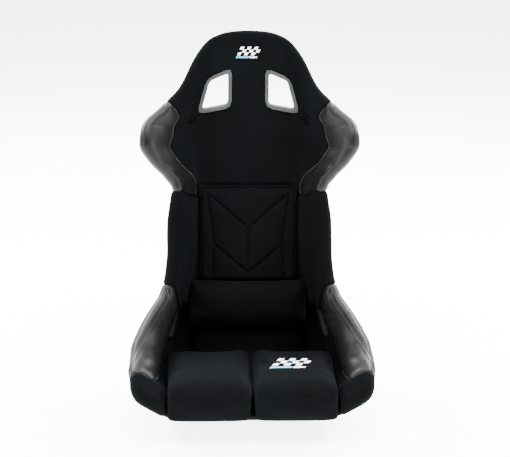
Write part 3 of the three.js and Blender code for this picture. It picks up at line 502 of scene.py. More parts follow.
def closed_sheet(outer, inner, keep=None, walled=lambda i, j, way: True):
    """Vertices and faces of the solid between two grids, leaving out cells where keep is false. walled says
    whether a cell that ends the grid on side way (0 first row, 1 last column, 2 last row, 3 first column)
    gets a wall there."""
    rows, columns = outer.shape[:2]
    keep = np.ones((rows - 1, columns - 1), bool) if keep is None else keep
    vertices = np.concatenate([outer.reshape(-1, 3), inner.reshape(-1, 3)])
    under = rows * columns
    faces = []

    def at(i, j):
        return i * columns + j

    def kept(i, j):
        return 0 <= i < rows - 1 and 0 <= j < columns - 1 and keep[i, j]

    for i in range(rows - 1):
        for j in range(columns - 1):
            if not keep[i, j]:
                continue
            a, b, c, d = at(i, j), at(i, j + 1), at(i + 1, j + 1), at(i + 1, j)
            faces.append((a, b, c, d))
            faces.append((d + under, c + under, b + under, a + under))
            ways = (((i - 1, j), (a, b)), ((i, j + 1), (b, c)), ((i + 1, j), (c, d)), ((i, j - 1), (d, a)))
            for way, (beyond, (p, q)) in enumerate(ways):
                if not kept(*beyond) and walled(i, j, way):
                    faces.append((q, p, p + under, q + under))
    return vertices, faces


def resampled(lines, count):
    """Each row of points resampled to count points, evenly along its length."""
    steps = np.linalg.norm(np.diff(lines, axis=1), axis=2)
    length = np.concatenate([np.zeros((len(lines), 1)), np.cumsum(steps, axis=1)], axis=1)
    out = np.empty((len(lines), count, 3))
    for i, line in enumerate(lines):
        wanted = np.linspace(0, length[i, -1], count)
        for k in range(3):
            out[i, :, k] = np.interp(wanted, length[i], line[:, k])
    return out


def arc_lengths(grid, axis):
    """How far each point of a grid is along its row or column, and the whole length."""
    steps = np.linalg.norm(np.diff(grid, axis=axis), axis=2)
    start = np.zeros_like(np.take(steps, [0], axis=axis))
    along = np.concatenate([start, np.cumsum(steps, axis=axis)], axis=axis)
    return along, np.take(along, [-1], axis=axis)


def tuck(distance, deep=3.2, wide=4.0):
    """How far a cover is drawn in at this distance from a seam."""
    return -deep * np.exp(-((distance / wide) ** 2))


def wavelets(p, scale, seed, count=6):
    """Smooth seeded ripples over points: a sum of plane waves of about the same length."""
    rng = np.random.default_rng(seed)
    total = np.zeros(p.shape[:-1])
    for _ in range(count):
        direction = unit(rng.normal(size=3))
        wavelength = scale * rng.uniform(0.75, 1.35)
        total += np.sin(p @ direction * (2 * math.pi / wavelength) + rng.uniform(0, 6.28))
    return total / math.sqrt(count)


# ---------------------------------------------------------------- harness frames' places
SHOULDER_S, SHOULDER_X = 1077, 82
SHOULDER_OUTLINE = [(-13, 55), (23, 18), (14, -57), (-43, -20)]
LAP_S, LAP_T, LAP_LONG, LAP_WIDE = 438, 0.615, 62, 24
STRAP_S, STRAP_LONG, STRAP_WIDE = 249, 56, 20


def frame_of(s, t, reach=30):
    """Origin and axes of a moulded frame: across, along and towards the driver."""
    lift = float(depth(s, t))
    half = float(half_of(s))
    along = unit(skin(s + reach, t, lift) - skin(s - reach, t, lift))
    over = unit(skin(s, t + 18 / half, lift) - skin(s, t - 18 / half, lift))
    out = unit(np.cross(over, along))
    return skin(s, t, lift), np.cross(along, out), along, out


def box_corners(long, wide):
    return [(-long / 2, wide / 2), (long / 2, wide / 2), (long / 2, -wide / 2), (-long / 2, -wide / 2)]


def harness_frames():
    half = float(half_of(SHOULDER_S))
    found = []
    for side in (-1, 1):
        shoulder = frame_of(SHOULDER_S, side * SHOULDER_X / half * 1.02)
        found.append(("shoulder", shoulder, [(side * x, y) for x, y in SHOULDER_OUTLINE], 1.6))
        found.append(("lap", frame_of(LAP_S, side * LAP_T), box_corners(LAP_WIDE, LAP_LONG), 1.2))
    found.append(("strap", frame_of(STRAP_S, 0, 12), box_corners(STRAP_LONG, STRAP_WIDE), 0.8))
    return found


HARNESS = harness_frames()
FLANGE = 9.6  # how far a frame's flange reaches out from its opening
FLANGE_NEAR, FLANGE_DEEP = 26, 45  # how far out and how far off its plane a frame presses the cover


def outside_by(corners, x, y):
    """Signed distance of points from a convex outline; negative inside."""
    corners = np.array(corners, float)
    middle = corners.mean(0)
    worst = np.full(np.shape(x), -1e9)
    for a, b in zip(corners, np.roll(corners, -1, axis=0)):
        edge = b - a
        out = np.array([edge[1], -edge[0]]) / np.hypot(*edge)
        if np.dot(out, middle - a) > 0:
            out = -out
        worst = np.maximum(worst, (x - a[0]) * out[0] + (y - a[1]) * out[1])
    return worst


def seat_frames(grid, kinds):
    """Presses a cover down under each harness frame's flange, and marks the cells of its way through."""
    keep = np.ones((grid.shape[0] - 1, grid.shape[1] - 1), bool)
    for kind, (origin, over, along, out), corners, shelf in HARNESS:
        if kind not in kinds:
            continue
        local = grid - origin
        x, y, w = local @ over, local @ along, local @ out
        gap = outside_by(corners, x, y)
        near = (gap < FLANGE_NEAR) & (np.abs(w) < FLANGE_DEEP)
        limit = shelf - 0.6 + np.maximum(gap - FLANGE, 0) * 0.9
        drop = np.where(near & (w > limit), w - limit, 0)
        grid = grid - drop[..., None] * out
        inside = near & (gap < 1.5)
        corner = inside[:-1, :-1] | inside[1:, :-1] | inside[:-1, 1:] | inside[1:, 1:]
        keep &= ~corner
    return grid, keep


# ---------------------------------------------------------------- covers round the edge
def edge_turn(edge, inward, off, above, angle):
    """Points from the padding's top, above the edge, round it and on to the shell's back."""
    middle, radius = (above - BACKING) / 2, (above + BACKING) / 2
    overhang = OVERHANG * (above + BACKING)
    return (
        edge[:, None]
        + inward[:, None] * (middle[:, None] + radius[:, None] * np.cos(angle))[..., None]
        + off[:, None] * (overhang[:, None] * np.sin(angle))[..., None]
    )


def edge_lines(places, side, inner_t, interior=14, round_steps=18):
    """Fine rows of a cover: from its inner seam to the edge, round it and on to the shell's back."""
    s, t, edge, inward, off = rim(places, side)
    start = np.minimum(inner_t, t)
    across = np.linspace(0, 1, interior)
    tt = start[:, None] + (t - start)[:, None] * across
    ss = np.broadcast_to(s[:, None], tt.shape)
    rows = [skin(ss, side * tt, depth(ss, tt))]
    rows.append(edge_turn(edge, inward, off, depth(s, t), np.linspace(0, math.pi, round_steps + 1)[1:]))
    along = unit(surface(np.minimum(s + 1, LENGTH), side * t) - surface(np.maximum(s - 1, 0), side * t))
    over = unit(surface(s, side * t) - surface(s, side * t - side * 0.01))
    for share in (0.5, 1.0):
        distance = WRAP * share
        back_s = np.clip(s - distance * (off * along).sum(-1), 0, LENGTH)
        back_t = np.maximum(t - distance * (off * over).sum(-1) / half_of(s), 0)
        rows.append(skin(back_s, side * back_t, np.full(s.shape, -BACKING))[:, None])
    return np.concatenate(rows, axis=1)


def softened(grid, reach, rounds=2):
    """Each row of points smoothed along its length over about reach points. Its ends, its back and the
    rows next to another cover are held still."""
    columns = grid.shape[1]
    held = smooth(np.arange(columns) / 5) * smooth((0.66 * columns - np.arange(columns)) / 9)
    down, length = arc_lengths(grid, 0)
    held = held * smooth((down + 4) / 38) * smooth((length - down + 4) / 38)

    def blurred(rows):
        for _ in range(reach):
            middle = (rows[:, :-2] + 2 * rows[:, 1:-1] + rows[:, 2:]) / 4
            rows = np.concatenate([rows[:, :1], middle, rows[:, -1:]], axis=1)
        return rows

    out = grid
    lost = np.zeros_like(grid)
    for _ in range(rounds):
        out = blurred(grid + lost)
        lost = lost + blurred(grid - out)
    return grid + (out - grid) * held[..., None]


def edge_cover(name, nodes, side, rows, seam, columns, material, shape, soft):
    """A padded cover: its fine rows resampled and softened, drawn in at its seams and given its own ripples.
    Gives its outer points."""
    start, stop, step = rows
    places = place_of(np.linspace(start, stop, int((stop - start) / step) + 1))
    grid = resampled(edge_lines(places, side, seam(outline(places)[0])), columns)
    grid = softened(grid, soft)
    normals = grid_normals(grid) * side
    across, girth = arc_lengths(grid, 1)
    down, length = arc_lengths(grid, 0)
    swell = tuck(across) + tuck(down) + tuck(length - down) + tuck(girth - across, 2.0, 6.0)
    swell = np.maximum(swell, DEEPEST) + shape(grid, across, girth, down, length)
    outer = grid + normals * swell[..., None]
    keep = None
    if name.startswith("side"):
        outer, keep = seat_frames(outer, ("lap",))
    vertices, faces = closed_sheet(outer, outer - normals * COVER, keep)
    build(name, vertices, faces, material, "seat", nodes)
    return outer


def wing_shape(p, across, girth, down, length):
    crown = 4.0 * np.sin(math.pi * np.clip(across / (0.5 * girth), 0, 1))
    foot = np.exp(-down / 60)
    return crown + 0.35 * wavelets(p, 60, 11) + 0.7 * foot * wavelets(p, 24, 12)


def side_shape(p, across, girth, down, length):
    return 1.2 * np.sin(math.pi * np.clip(across / girth, 0, 1)) ** 2 + 0.3 * wavelets(p, 80, 21)


def bolster_shape(p, across, girth, down, length):
    share = across / girth
    crown = 10.0 * np.sin(math.pi * np.clip(share / 0.54, 0, 1))
    crown = crown * smooth(down / 60) * smooth((length - down) / 60)
    line = 0.6 * girth
    groove = -1.3 * np.exp(-(((across - line) / 2.2) ** 2))
    beyond = smooth((across - line) / 6) * smooth((girth - across) / 30)
    lower = 0.25 + 0.75 * smooth((0.75 * length - down) / 120)
    gather = np.sin(down * 2 * math.pi / 8.5 + 1.4 * np.sin(down / 23))
    gather = gather * np.exp(-np.maximum(across - line, 0) / 16)
    upper = smooth((down / length - 0.5) / 0.3)
    folds = np.sin((down + 0.9 * across) * 2 * math.pi / 27 + 0.8 * np.sin(across / 17))
    inside = smooth((line - across) / 20) * smooth(across / 25)
    return (
        crown + groove + 0.75 * beyond * lower * gather
        + 0.75 * upper * inside * folds * (0.6 + 0.4 * wavelets(p, 90, 31))
        + 0.35 * wavelets(p, 45, 32)
    )


COVERS = [
    # piece, CAD nodes, first and last place along the spine with the rows' spacing, inner seam, points a row,
    # material, slot, shape, reach of the softening, and the point of a row where each line of stitches runs
    # (the bolster's outer line lies about 6 mm inside its groove)
    ("wing", "wing", (WING_FOOT, WING_TOP, 4.0), wing_seam, 52, VINYL, "vinyl", wing_shape, 34,
     {"wing_seam": 2}),
    ("side_panel", "side", (HIP, WING_FOOT, 4.0), side_seam, 48, CLOTH, "fabric", side_shape, 10, {}),
    ("thigh_bolster", "bolster", (NOSE, HIP, 3.0), bolster_seam, 60, VINYL, "vinyl", bolster_shape, 70,
     {"bolster_inner_seam": 1, "bolster_outer_seam": 33}),
]
SEAMS = []  # side, the line of points to sew along, the line beside it, and the name
for side, word in SIDES:
    for piece, stem, rows, seam, columns, material, slot, shape, soft, sewn in COVERS:
        nodes = [f"{stem}_cover_{word}", f"{stem}_foam_{word}"]
        outer = edge_cover(f"{piece}_{word}", nodes, side, rows, seam, columns, material, shape, soft)
        for name, column in sewn.items():
            SEAMS.append((side, outer[:, column], outer[:, column + 1], f"{name}_{word}"))


def nose_piece(side, word):
    """The fabric nose of a bolster, which turns round the shell's front corner."""
    corner = np.linspace(1.0, 0.0, 22)
    lip_t = np.linspace(1 - NOSE_T, NOSE_INNER - NOSE_DRAWN_ON, 9)[1:]
    s, t, edge, inward, off = rim(corner, side)
    lip_edge = surface(np.zeros(len(lip_t)), side * lip_t)
    s = np.concatenate([s, np.zeros(len(lip_t))])
    t = np.concatenate([t, lip_t])
    edge = np.concatenate([edge, lip_edge])
    inward = np.concatenate([inward, normal(np.full(len(lip_t), 0.6), side * lip_t)])
    ahead = unit(lip_edge - surface(np.ones(len(lip_t)), side * lip_t))
    off = np.concatenate([off, ahead])
    thick = depth(s, np.maximum(t, 0.9))
    across = np.linspace(0, 1, 8)[:-1]
    ss = NOSE + (s - NOSE)[:, None] * across
    tt = np.broadcast_to(t[:, None], ss.shape)
    top = skin(ss, side * tt, np.broadcast_to(thick[:, None], ss.shape))
    turn = edge_turn(edge, inward, off, thick, np.linspace(0, math.pi, 15))
    last = turn[:, -1:] - off[:, None] * NOSE_TAIL
    grid = resampled(np.concatenate([top, turn, last], axis=1), 34)
    grid[..., 0] = side * np.maximum(side * grid[..., 0], NOSE_INSIDE)
    normals = grid_normals(grid) * -side
    down, girth = arc_lengths(grid, 1)
    over, length = arc_lengths(grid, 0)
    swell = np.maximum(tuck(down) + tuck(length - over), DEEPEST) + 0.35 * wavelets(grid, 40, 41)
    outer = grid + normals * swell[..., None]
    vertices, faces = closed_sheet(outer, outer - normals * COVER)
    build(f"nose_{word}", vertices, faces, CLOTH, "seat",
          [f"nose_cover_{word}", f"nose_foam_{word}"])


for side, word in SIDES:
    nose_piece(side, word)


# ---------------------------------------------------------------- head and upper back
PAD_CHANNEL = 126  # the sewn channels either side of the upper back's pad, as a distance from the middle


def head_piece():
    """One cloth from the seam across the back, between the wings, over the head and round its edge."""
    share = np.linspace(0, 1, 35)
    half = 0.55 * share + 0.45 * np.sin(share * math.pi / 2)
    c = np.concatenate([-half[::-1], half[1:]])
    arch = np.arccos(np.clip(np.abs(c) ** (1 / ARCH), 0, 1))
    top_s = HEAD + (LENGTH - HEAD) * np.sin(arch) ** ARCH
    upper_s = np.linspace(BACK_SEAM, WING_TOP, 53)
    f = np.linspace(0, 1, 38)[1:]
    s = np.concatenate([np.repeat(upper_s[:, None], len(c), 1), WING_TOP + (top_s - WING_TOP) * f[:, None]])
    widest = wing_seam(np.minimum(s, WING_TOP)) + 0.03 * smooth((s - WING_TOP) / 14)
    t = c * widest
    width = half_of(s)
    from_wing = np.where(s < WING_TOP, (widest - np.abs(t)) * width, 99)
    from_top = np.hypot(s - WING_TOP, (widest - np.abs(t)) * width)
    swell = tuck(s - BACK_SEAM) + np.minimum(tuck(from_wing), tuck(from_top))
    pad = smooth((1020 - s) / 60) * smooth((s - BACK_SEAM) / 40)
    x = surface(s, t)[..., 0]
    past_channel = np.abs(x) - PAD_CHANNEL
    swell = swell - 1.1 * pad * np.exp(-((past_channel / 2.6) ** 2)) + 1.6 * pad * smooth(-past_channel / 40)
    calm = (1 - np.abs(c) ** 10) * np.where(s > WING_TOP, 1 - ((s - WING_TOP) / (top_s - WING_TOP)) ** 10, 1)
    base = skin(s, t, depth(s, t))
    swell = swell + 0.45 * calm * wavelets(base, 110, 51)
    outward = normal(s, t)
    outer, keep = seat_frames(base + outward * swell[..., None], ("shoulder",))
    inner = outer - outward * COVER
    first = len(upper_s) - 1
    last = len(s) - 1
    path = [(i, 0) for i in range(first, last)] + [(last, j) for j in range(len(c))]
    path += [(i, len(c) - 1) for i in range(last - 1, first - 1, -1)]
    rows, columns = np.array(path).T
    place = np.where(rows == last, 2 + arch[columns] / (math.pi / 2), place_of(s[rows, columns]))
    side = np.where(columns < len(c) // 2, -1, 1)
    lines = np.stack([edge_lines(np.array([p]), k, np.array([2.0]), 2)[0] for p, k in zip(place, side)])
    lines = np.concatenate([outer[rows, columns][:, None], lines[:, 2:]], axis=1)
    strip = resampled(lines, 30)
    across, girth = arc_lengths(strip, 1)
    down, length = arc_lengths(strip, 0)
    normals = grid_normals(strip)
    if np.mean((normals[:, 3] * outward[rows, columns]).sum(-1)) < 0:
        normals = -normals
    ends = tuck(down) + tuck(length - down)
    swell = (ends + tuck(girth - across, 2.0, 6.0)) * smooth(across / 6)
    strip = strip + normals * swell[..., None]
    strip_inner = strip - normals * COVER
    strip_inner[:, 0] = inner[rows, columns]

    def middle_wall(i, j, way):
        return way == 0 or (way in (1, 3) and i < first)

    vertices, faces = joined([closed_sheet(outer, inner, keep, middle_wall),
                              closed_sheet(strip, strip_inner, None, lambda i, j, way: way != 3)])
    return build("head_and_upper_back", vertices, faces, CLOTH, "seat",
                 ["head_cover", "head_foam", "upper_back_foam"])


HEAD_PIECE = head_piece()


# ---------------------------------------------------------------- linings
def lining_piece(name, s, half_t, columns, kinds, replaces):
    c = np.linspace(-1, 1, columns)
    ss = np.repeat(s[:, None], columns, 1)
    tt = c * half_t(ss)
    base = skin(ss, tt, depth(ss, tt))
    outward = normal(ss, tt)
    across, girth = arc_lengths(base, 1)
    down, length = arc_lengths(base, 0)
    swell = tuck(across) + tuck(girth - across) + tuck(length - down) + tuck(down, 1.5)
    swell = np.maximum(swell, DEEPEST) + 0.3 * wavelets(base, 70, 61)
    outer, keep = seat_frames(base + outward * swell[..., None], kinds)
    vertices, faces = closed_sheet(outer, outer - outward * LINING, keep)
    build(name, vertices, faces, CLOTH, "seat", replaces)


def seat_half(s):
    return np.where(s < NOSE, NOSE_INNER, bolster_seam(np.maximum(s, NOSE)))


def back_half(s):
    return side_seam(np.minimum(s, WING_FOOT))


seat_s = np.concatenate([np.linspace(10, NOSE - 0.2, 10), np.linspace(NOSE + 0.2, HIP, 100)])
lining_piece("seat_lining_cloth", seat_s, seat_half, 101, ("strap", "lap"), ["seat_lining"])
lining_piece("back_lining_cloth", np.linspace(HIP, BACK_SEAM, 90), back_half, 71, ("lap",), ["back_lining"])


# ---------------------------------------------------------------- separate pads
def spine_frame(s):
    """Points on the spine and the direction to the driver there."""
    middle = surface(s, np.zeros_like(s))
    return middle, normal(s, np.zeros_like(s))


def eased(low_end, high_end, count):
    """Positions from one end to the other, closer together near the ends."""
    share = np.linspace(0, 1, count)
    share = 0.5 * share + 0.5 * (0.5 - 0.5 * np.cos(share * math.pi))
    return low_end + (high_end - low_end) * share


def rounded_edge(distance, radius, foot):
    """Height as a share of full thickness at a distance in from the rim."""
    share = 1 - np.clip(distance / radius, 0, 1)
    return foot + (1 - foot) * np.sqrt(np.maximum(1 - share**2, 0))


def pad_grids(start, stop, half_width, thickness, radius, foot, inset, count, relief=None):
    """Top and bottom of a pad that lies on the padded seat between two places along the spine."""
    s = eased(start + inset, stop - inset, count[0])
    x = eased(-half_width + inset, half_width - inset, count[1])
    ss, xx = np.meshgrid(s, x, indexing="ij")
    x_gap = half_width - inset - np.abs(xx)
    s_gap = np.minimum(ss - start - inset, stop - inset - ss)
    corner = 16.0
    a, b = np.maximum(corner - x_gap, 0), np.maximum(corner - s_gap, 0)
    gap = np.where((a > 0) & (b > 0), corner - np.hypot(a, b), np.minimum(x_gap, s_gap))
    rise = rounded_edge(np.maximum(gap, 0), radius, foot)
    middle, outward = spine_frame(ss)
    floor = skin(ss, t_at(ss, xx), depth(ss, t_at(ss, xx)) + 3.2 + inset * 0.5)
    lift = middle_depth(ss) + 3.0 + (thickness - inset) * rise
    if relief is not None:
        lift = lift + relief(ss, xx, gap)
    roof = middle + outward * lift[..., None]
    roof[..., 0] = xx
    above = ((roof - floor) * outward).sum(-1)
    roof = roof + outward * np.maximum(3.0 - above, 0)[..., None]
    return roof, floor


def near_line(ss, xx, line):
    """Distance from points to a polyline given in (x, s)."""
    best = np.full(ss.shape, 1e9)
    for (x0, s0), (x1, s1) in zip(line, line[1:]):
        dx, ds = x1 - x0, s1 - s0
        f = np.clip(((xx - x0) * dx + (ss - s0) * ds) / (dx * dx + ds * ds), 0, 1)
        best = np.minimum(best, np.hypot(xx - x0 - f * dx, ss - s0 - f * ds))
    return best


# Sewn lines in (x, s), mostly as a scratch script printed them; report.md says more.
QUILT = [[(0, 587), (0, 726)]]
for way in (-1, 1):
    QUILT.append([(way * 105, 826), (way * 104, 809), (way * 88, 692), (way * 93, 590)])
    QUILT.append([(way * 103, 817), (0, 726)])
    QUILT.append([(way * 88, 684), (0, 608)])


def quilted(ss, xx, gap):
    """Sewn channels: each seam is drawn down and the cloth swells between them."""
    nearest = np.full(ss.shape, 1e9)
    for line in QUILT:
        nearest = np.minimum(nearest, near_line(ss, xx, line))
    swell = 5.2 * (1 - np.exp(-nearest / 11)) - 4.4 * np.exp(-((nearest / 2.6) ** 2))
    inside = smooth(gap / 10)
    p = np.stack([xx, ss, 0 * xx], -1)
    pucker = 0.35 * np.exp(-nearest / 9) * wavelets(p, 13, 71)
    return inside * (swell + pucker - 2.0) + 0.3 * inside * wavelets(p, 60, 72)


roof, floor = pad_grids(590, 827, 124, 24, 12, 0.35, 0.5, (190, 170), quilted)
vertices, faces = closed_sheet(roof, floor)
build("lower_back_pad", vertices, faces, CLOTH, "seat",
      ["lower_back_pad_cover", "lower_back_pad_foam"])


def applied(thing):
    """A new mesh of an object with its modifiers applied."""
    return bpy.data.meshes.new_from_object(thing.evaluated_get(bpy.context.evaluated_depsgraph_get()))


def corners_of(mesh):
    return np.array([v.co for v in mesh.vertices])


def blown_up(name, rest):
    """Where a mesh's corners go when it is blown up as cloth."""
    scene = bpy.context.scene
    sim = linked(name + "_sim", rest.copy())
    cloth = sim.modifiers.new("cloth", "CLOTH").settings
    cloth.use_pressure = True
    cloth.uniform_pressure_force = 4.0
    cloth.effector_weights.gravity = 0
    cloth.quality = 4
    cloth.tension_stiffness = cloth.compression_stiffness = 25
    cloth.bending_stiffness = 0.6
    for step in range(1, 21):
        scene.frame_set(step)
    after = corners_of(applied(sim))
    scene.frame_set(1)
    bpy.data.objects.remove(sim)
    return after


def inflate(name, vertices, faces, voxel, cap, body, replaces):
    """A closed shape remeshed, blown up as cloth, its movement capped, and smoothed with one subdivision.

    cap takes the unit directions of movement and gives the most that each point may move, in metres.
    """
    work = linked(name + "_start", closed_mesh(name + "_start", vertices, faces, 1e-5))
    remesh = work.modifiers.new("remesh", "REMESH")
    remesh.mode = "VOXEL"
    remesh.voxel_size = voxel
    relax = work.modifiers.new("relax", "SMOOTH")
    relax.factor, relax.iterations = 0.5, 4
    rest = applied(work)
    before = corners_of(rest)
    moved = blown_up(name, rest) - before
    far = np.linalg.norm(moved, axis=1, keepdims=True)
    ways = moved / np.maximum(far, 1e-9)
    most = cap(ways)[:, None]
    moved = ways * most * np.tanh(far / np.maximum(most, 1e-6))
    placed = bpy.data.meshes.new(name)
    polygons = [tuple(p.vertices) for p in rest.polygons]
    placed.from_pydata([tuple(p) for p in before + moved], [], polygons)
    smooth_faces(placed)
    bpy.data.objects.remove(work)
    holder = linked(name + "_holder", placed)
    settle = holder.modifiers.new("settle", "SMOOTH")
    settle.factor, settle.iterations = 0.5, 3
    finer = holder.modifiers.new("finer", "SUBSURF")
    finer.levels = finer.render_levels = 1
    final = applied(holder)
    bpy.data.objects.remove(holder)
    final.name = name
    return finished(name, final, CLOTH, body, replaces)


def outward_cap(towards, most, least):
    """Movement along one direction may be most, and across or against it least."""
    towards = unit(np.array(towards, float))

    def cap(ways):
        return (least + (most - least) * np.clip(ways @ towards, 0, 1)) / 1000

    return cap


roof, floor = pad_grids(273, 455, 142, 26, 12, 0.4, 1.0, (40, 50))
vertices, faces = closed_sheet(roof, floor)
inflate("seat_pad", vertices, faces, 0.006, outward_cap((0, -0.6, 0.8), 7, 3.5), "seat",
        ["seat_pad_cover", "seat_pad_foam"])

roof, floor = pad_grids(465, 592, 156, 61, 46, 0.12, 1.5, (46, 70))
vertices, faces = closed_sheet(roof, floor)
inflate("lumbar_pad", vertices, faces, 0.005, outward_cap((0, -0.97, 0.22), 8, 5), "lumbar_pad",
        ["lumbar_pad_cover", "lumbar_pad_foam"])


CUSHION_FROM, CUSHION_TO = 14, 217  # where the cushion lies on the seat, along s


def cushion_profile(x, inset, shrink):
    """The cushion's outline in y and z at one x, drawn in by inset plus shrink."""
    s = np.linspace(CUSHION_FROM, CUSHION_TO - inset, 40)
    t = t_at(s, np.full(s.shape, x))
    floor = skin(s, t, depth(s, t) + 3.4 + inset)
    rear = floor[-1]
    top_z = CUSHION_TOP - inset
    rear_y = rear[1] - inset * 0.2
    front_y = CUSHION_FRONT + inset
    under = 53 + inset * 0.6
    corners = [
        (rear_y, rear[2], 8),
        (rear_y - 1, top_z, 17),
        (-130, top_z + 2, 60),
        (front_y + 4, top_z - 3, 34),
        (front_y, under, 14),
        (-264 - inset * 0.2, under + 1, 4),
        (-262 - inset * 0.2, 68 + inset, 4),
    ]
    path = []
    count = len(corners)
    for i, (y, z, radius) in enumerate(corners):
        here = np.array([y, z], float)
        before = np.array(corners[i - 1][:2], float) if i else floor[-1][1:]
        after = np.array(corners[(i + 1) % count][:2], float) if i < count - 1 else floor[0][1:]
        enter = here + (before - here) * min(radius / max(np.hypot(*(before - here)), 1e-6), 0.49)
        leave = here + (after - here) * min(radius / max(np.hypot(*(after - here)), 1e-6), 0.49)
        for f in np.linspace(0, 1, 7):
            path.append((1 - f) ** 2 * enter + 2 * f * (1 - f) * here + f * f * leave)
    path = np.array(path + [tuple(p[1:]) for p in floor])
    closed = np.concatenate([path, path[:1]])
    steps = np.concatenate([[0], np.cumsum(np.hypot(*np.diff(closed, axis=0).T))])
    wanted = np.linspace(0, steps[-1], 121)[:-1]
    ring = np.stack([np.interp(wanted, steps, closed[:, k]) for k in (0, 1)], -1)
    if shrink:
        middle = ring.mean(0)
        away = ring - middle
        reach = np.hypot(*away.T)[:, None]
        ring = middle + away * np.maximum(1 - shrink / np.maximum(reach, 1e-6), 0.1)
    return ring


def thigh_cushion(side, word):
    """A closed shape of rings across the cushion, which shrink towards its rounded sides, blown up."""
    inset, inner_x, outer_x = 1.5, 3, 202
    inner_radius, outer_radius = 10.0, 15.0
    stations = eased(inner_x + inset * 0.6, outer_x - inset * 0.6, 34)
    rings = []
    for x in stations:
        from_inner, from_outer = x - stations[0], stations[-1] - x
        reach = min(from_inner / inner_radius, from_outer / outer_radius, 1.0)
        size = inner_radius if from_inner < from_outer else outer_radius
        shrink = size * (1 - math.sqrt(max(1 - (1 - reach) ** 2, 0)))
        ring = cushion_profile(x, inset, shrink)
        rings.append(np.column_stack([np.full(len(ring), side * x), ring]))
    count, around = len(rings), len(rings[0])
    faces = ring_faces(count, around)
    faces.append(tuple(range(around)))
    faces.append(tuple(reversed(range((count - 1) * around, count * around))))
    name = f"thigh_cushion_{word}"
    return inflate(name, np.concatenate(rings), faces, 0.006, outward_cap((0, -0.3, 0.95), 8, 4.5),
                   name, [f"{name}_cover", f"{name}_foam"])


CUSHIONS = {word: thigh_cushion(side, word) for side, word in SIDES}


# ---------------------------------------------------------------- sewing
STITCH_PITCH, STITCH_LONG, STITCH_RADIUS = 5.0, 3.4, 0.45
STITCH_LIFT, STITCH_SUNK = 0.15, 0.5  # how far a stitch stands off the cover, and how far its ends sink


def tube(path, outward, radius, sides):
    """Vertices and faces of a closed tube along a path."""
    along = unit(np.gradient(path, axis=0))
    over = unit(np.cross(along, outward))
    up = np.cross(over, along)
    angle = np.linspace(0, 2 * math.pi, sides, endpoint=False)[:, None]
    rings = path[:, None] + radius * (np.cos(angle) * over[:, None] + np.sin(angle) * up[:, None])
    count = len(path)
    faces = ring_faces(count, sides)
    faces.append(tuple(reversed(range(sides))))
    faces.append(tuple(range((count - 1) * sides, count * sides)))
    return rings.reshape(-1, 3), faces


def stitches(name, line, outward):
    """Separate stitches along a line of points."""
    steps = np.concatenate([[0], np.cumsum(np.linalg.norm(np.diff(line, axis=0), axis=1))])
    parts = []
    for start in np.arange(STITCH_PITCH, steps[-1] - STITCH_PITCH, STITCH_PITCH):
        at = start + np.linspace(0, STITCH_LONG, 4)
        path = np.stack([np.interp(at, steps, line[:, k]) for k in range(3)], -1)
        face = unit(np.stack([np.interp(at, steps, outward[:, k]) for k in range(3)], -1))
        path = path + face * (STITCH_LIFT - np.array([STITCH_SUNK, 0, 0, STITCH_SUNK]))[:, None]
        parts.append(tube(path, face, STITCH_RADIUS, 5))
    vertices, faces = joined(parts)
    build(name, vertices, faces, BLACK_THREAD)


for side, line, beside, name in SEAMS:
    stitches(name, line, unit(np.cross(np.gradient(line, axis=0), beside - line)) * side)


PATCH_COLUMNS, PATCH_ROWS = 6, 5  # points of one patch of a motif, each way


def motif(name, piece, centre, across, up, size, towards, body):
    """A sewn chequered parallelogram with one coloured bar, laid on a piece's surface."""
    across, up, towards = (unit(np.array(v, float)) for v in (across, up, towards))
    mesh = piece.data
    where = [piece.matrix_world @ v.co for v in mesh.vertices]
    tree = BVHTree.FromPolygons(where, [tuple(p.vertices) for p in mesh.polygons])
    width, height = size
    columns, rows, lean = 6, 3, 0.5

    def laid(u, v):
        """A place of the motif (0 to 1 each way) on the surface, and the surface's normal there."""
        offset = across * ((u - 0.5) * width + (v - 0.5) * height * lean) + up * (v - 0.5) * height
        start = Vector(points(np.array(centre) + offset + towards * 60))
        hit, face, _, _ = tree.ray_cast(start, Vector(-towards))
        return np.array(hit) * 1000 - SHIFT, np.array(face)

    def patch(u0, u1, v0, v1):
        us, vs = np.linspace(u0, u1, PATCH_COLUMNS), np.linspace(v0, v1, PATCH_ROWS)
        found = [[laid(u, v) for u in us] for v in vs]
        base = np.array([[p for p, _ in row] for row in found])
        face = np.array([[n for _, n in row] for row in found])
        from_middle = np.maximum(np.abs(np.linspace(-1, 1, PATCH_COLUMNS))[None, :],
                                 np.abs(np.linspace(-1, 1, PATCH_ROWS))[:, None])
        swell = 0.75 * (1 - 0.35 * from_middle**4)
        return closed_sheet(base + face * swell[..., None], base - face * 0.6)

    def group(label, patches, material):
        vertices, faces = joined(patches)
        build(f"{name}_{label}", vertices, faces, material, body)

    light = []
    for i in range(columns):
        for j in range(rows):
            if (i + j) % 2 == 0:
                low_v, high_v = 0.28 + 0.24 * j, 0.28 + 0.24 * (j + 0.94)
                light.append(patch(i / columns, (i + 0.96) / columns, low_v, high_v))
    group("checks", light, WHITE_THREAD)
    group("bar", [patch(0.0, 0.62, 0.06, 0.18)], BLUE_THREAD)
    group("line", [patch(0.66, 1.0, 0.06, 0.18)], WHITE_THREAD)


def on_skin(s, t):
    return skin(np.array([s]), np.array([t]), 14)[0], normal(np.array([s]), np.array([t]))[0]


centre, towards = on_skin(1174, 0.0)
motif("head_motif", HEAD_PIECE, centre, (1, 0, 0), np.cross(towards, (1, 0, 0)), (52, 30), towards, "seat")
motif("cushion_motif", CUSHIONS["right"], (96, -150, CUSHION_TOP), (1, 0, 0), (0, 1, 0), (84, 54), (0, 0, 1),
      "thigh_cushion_right")


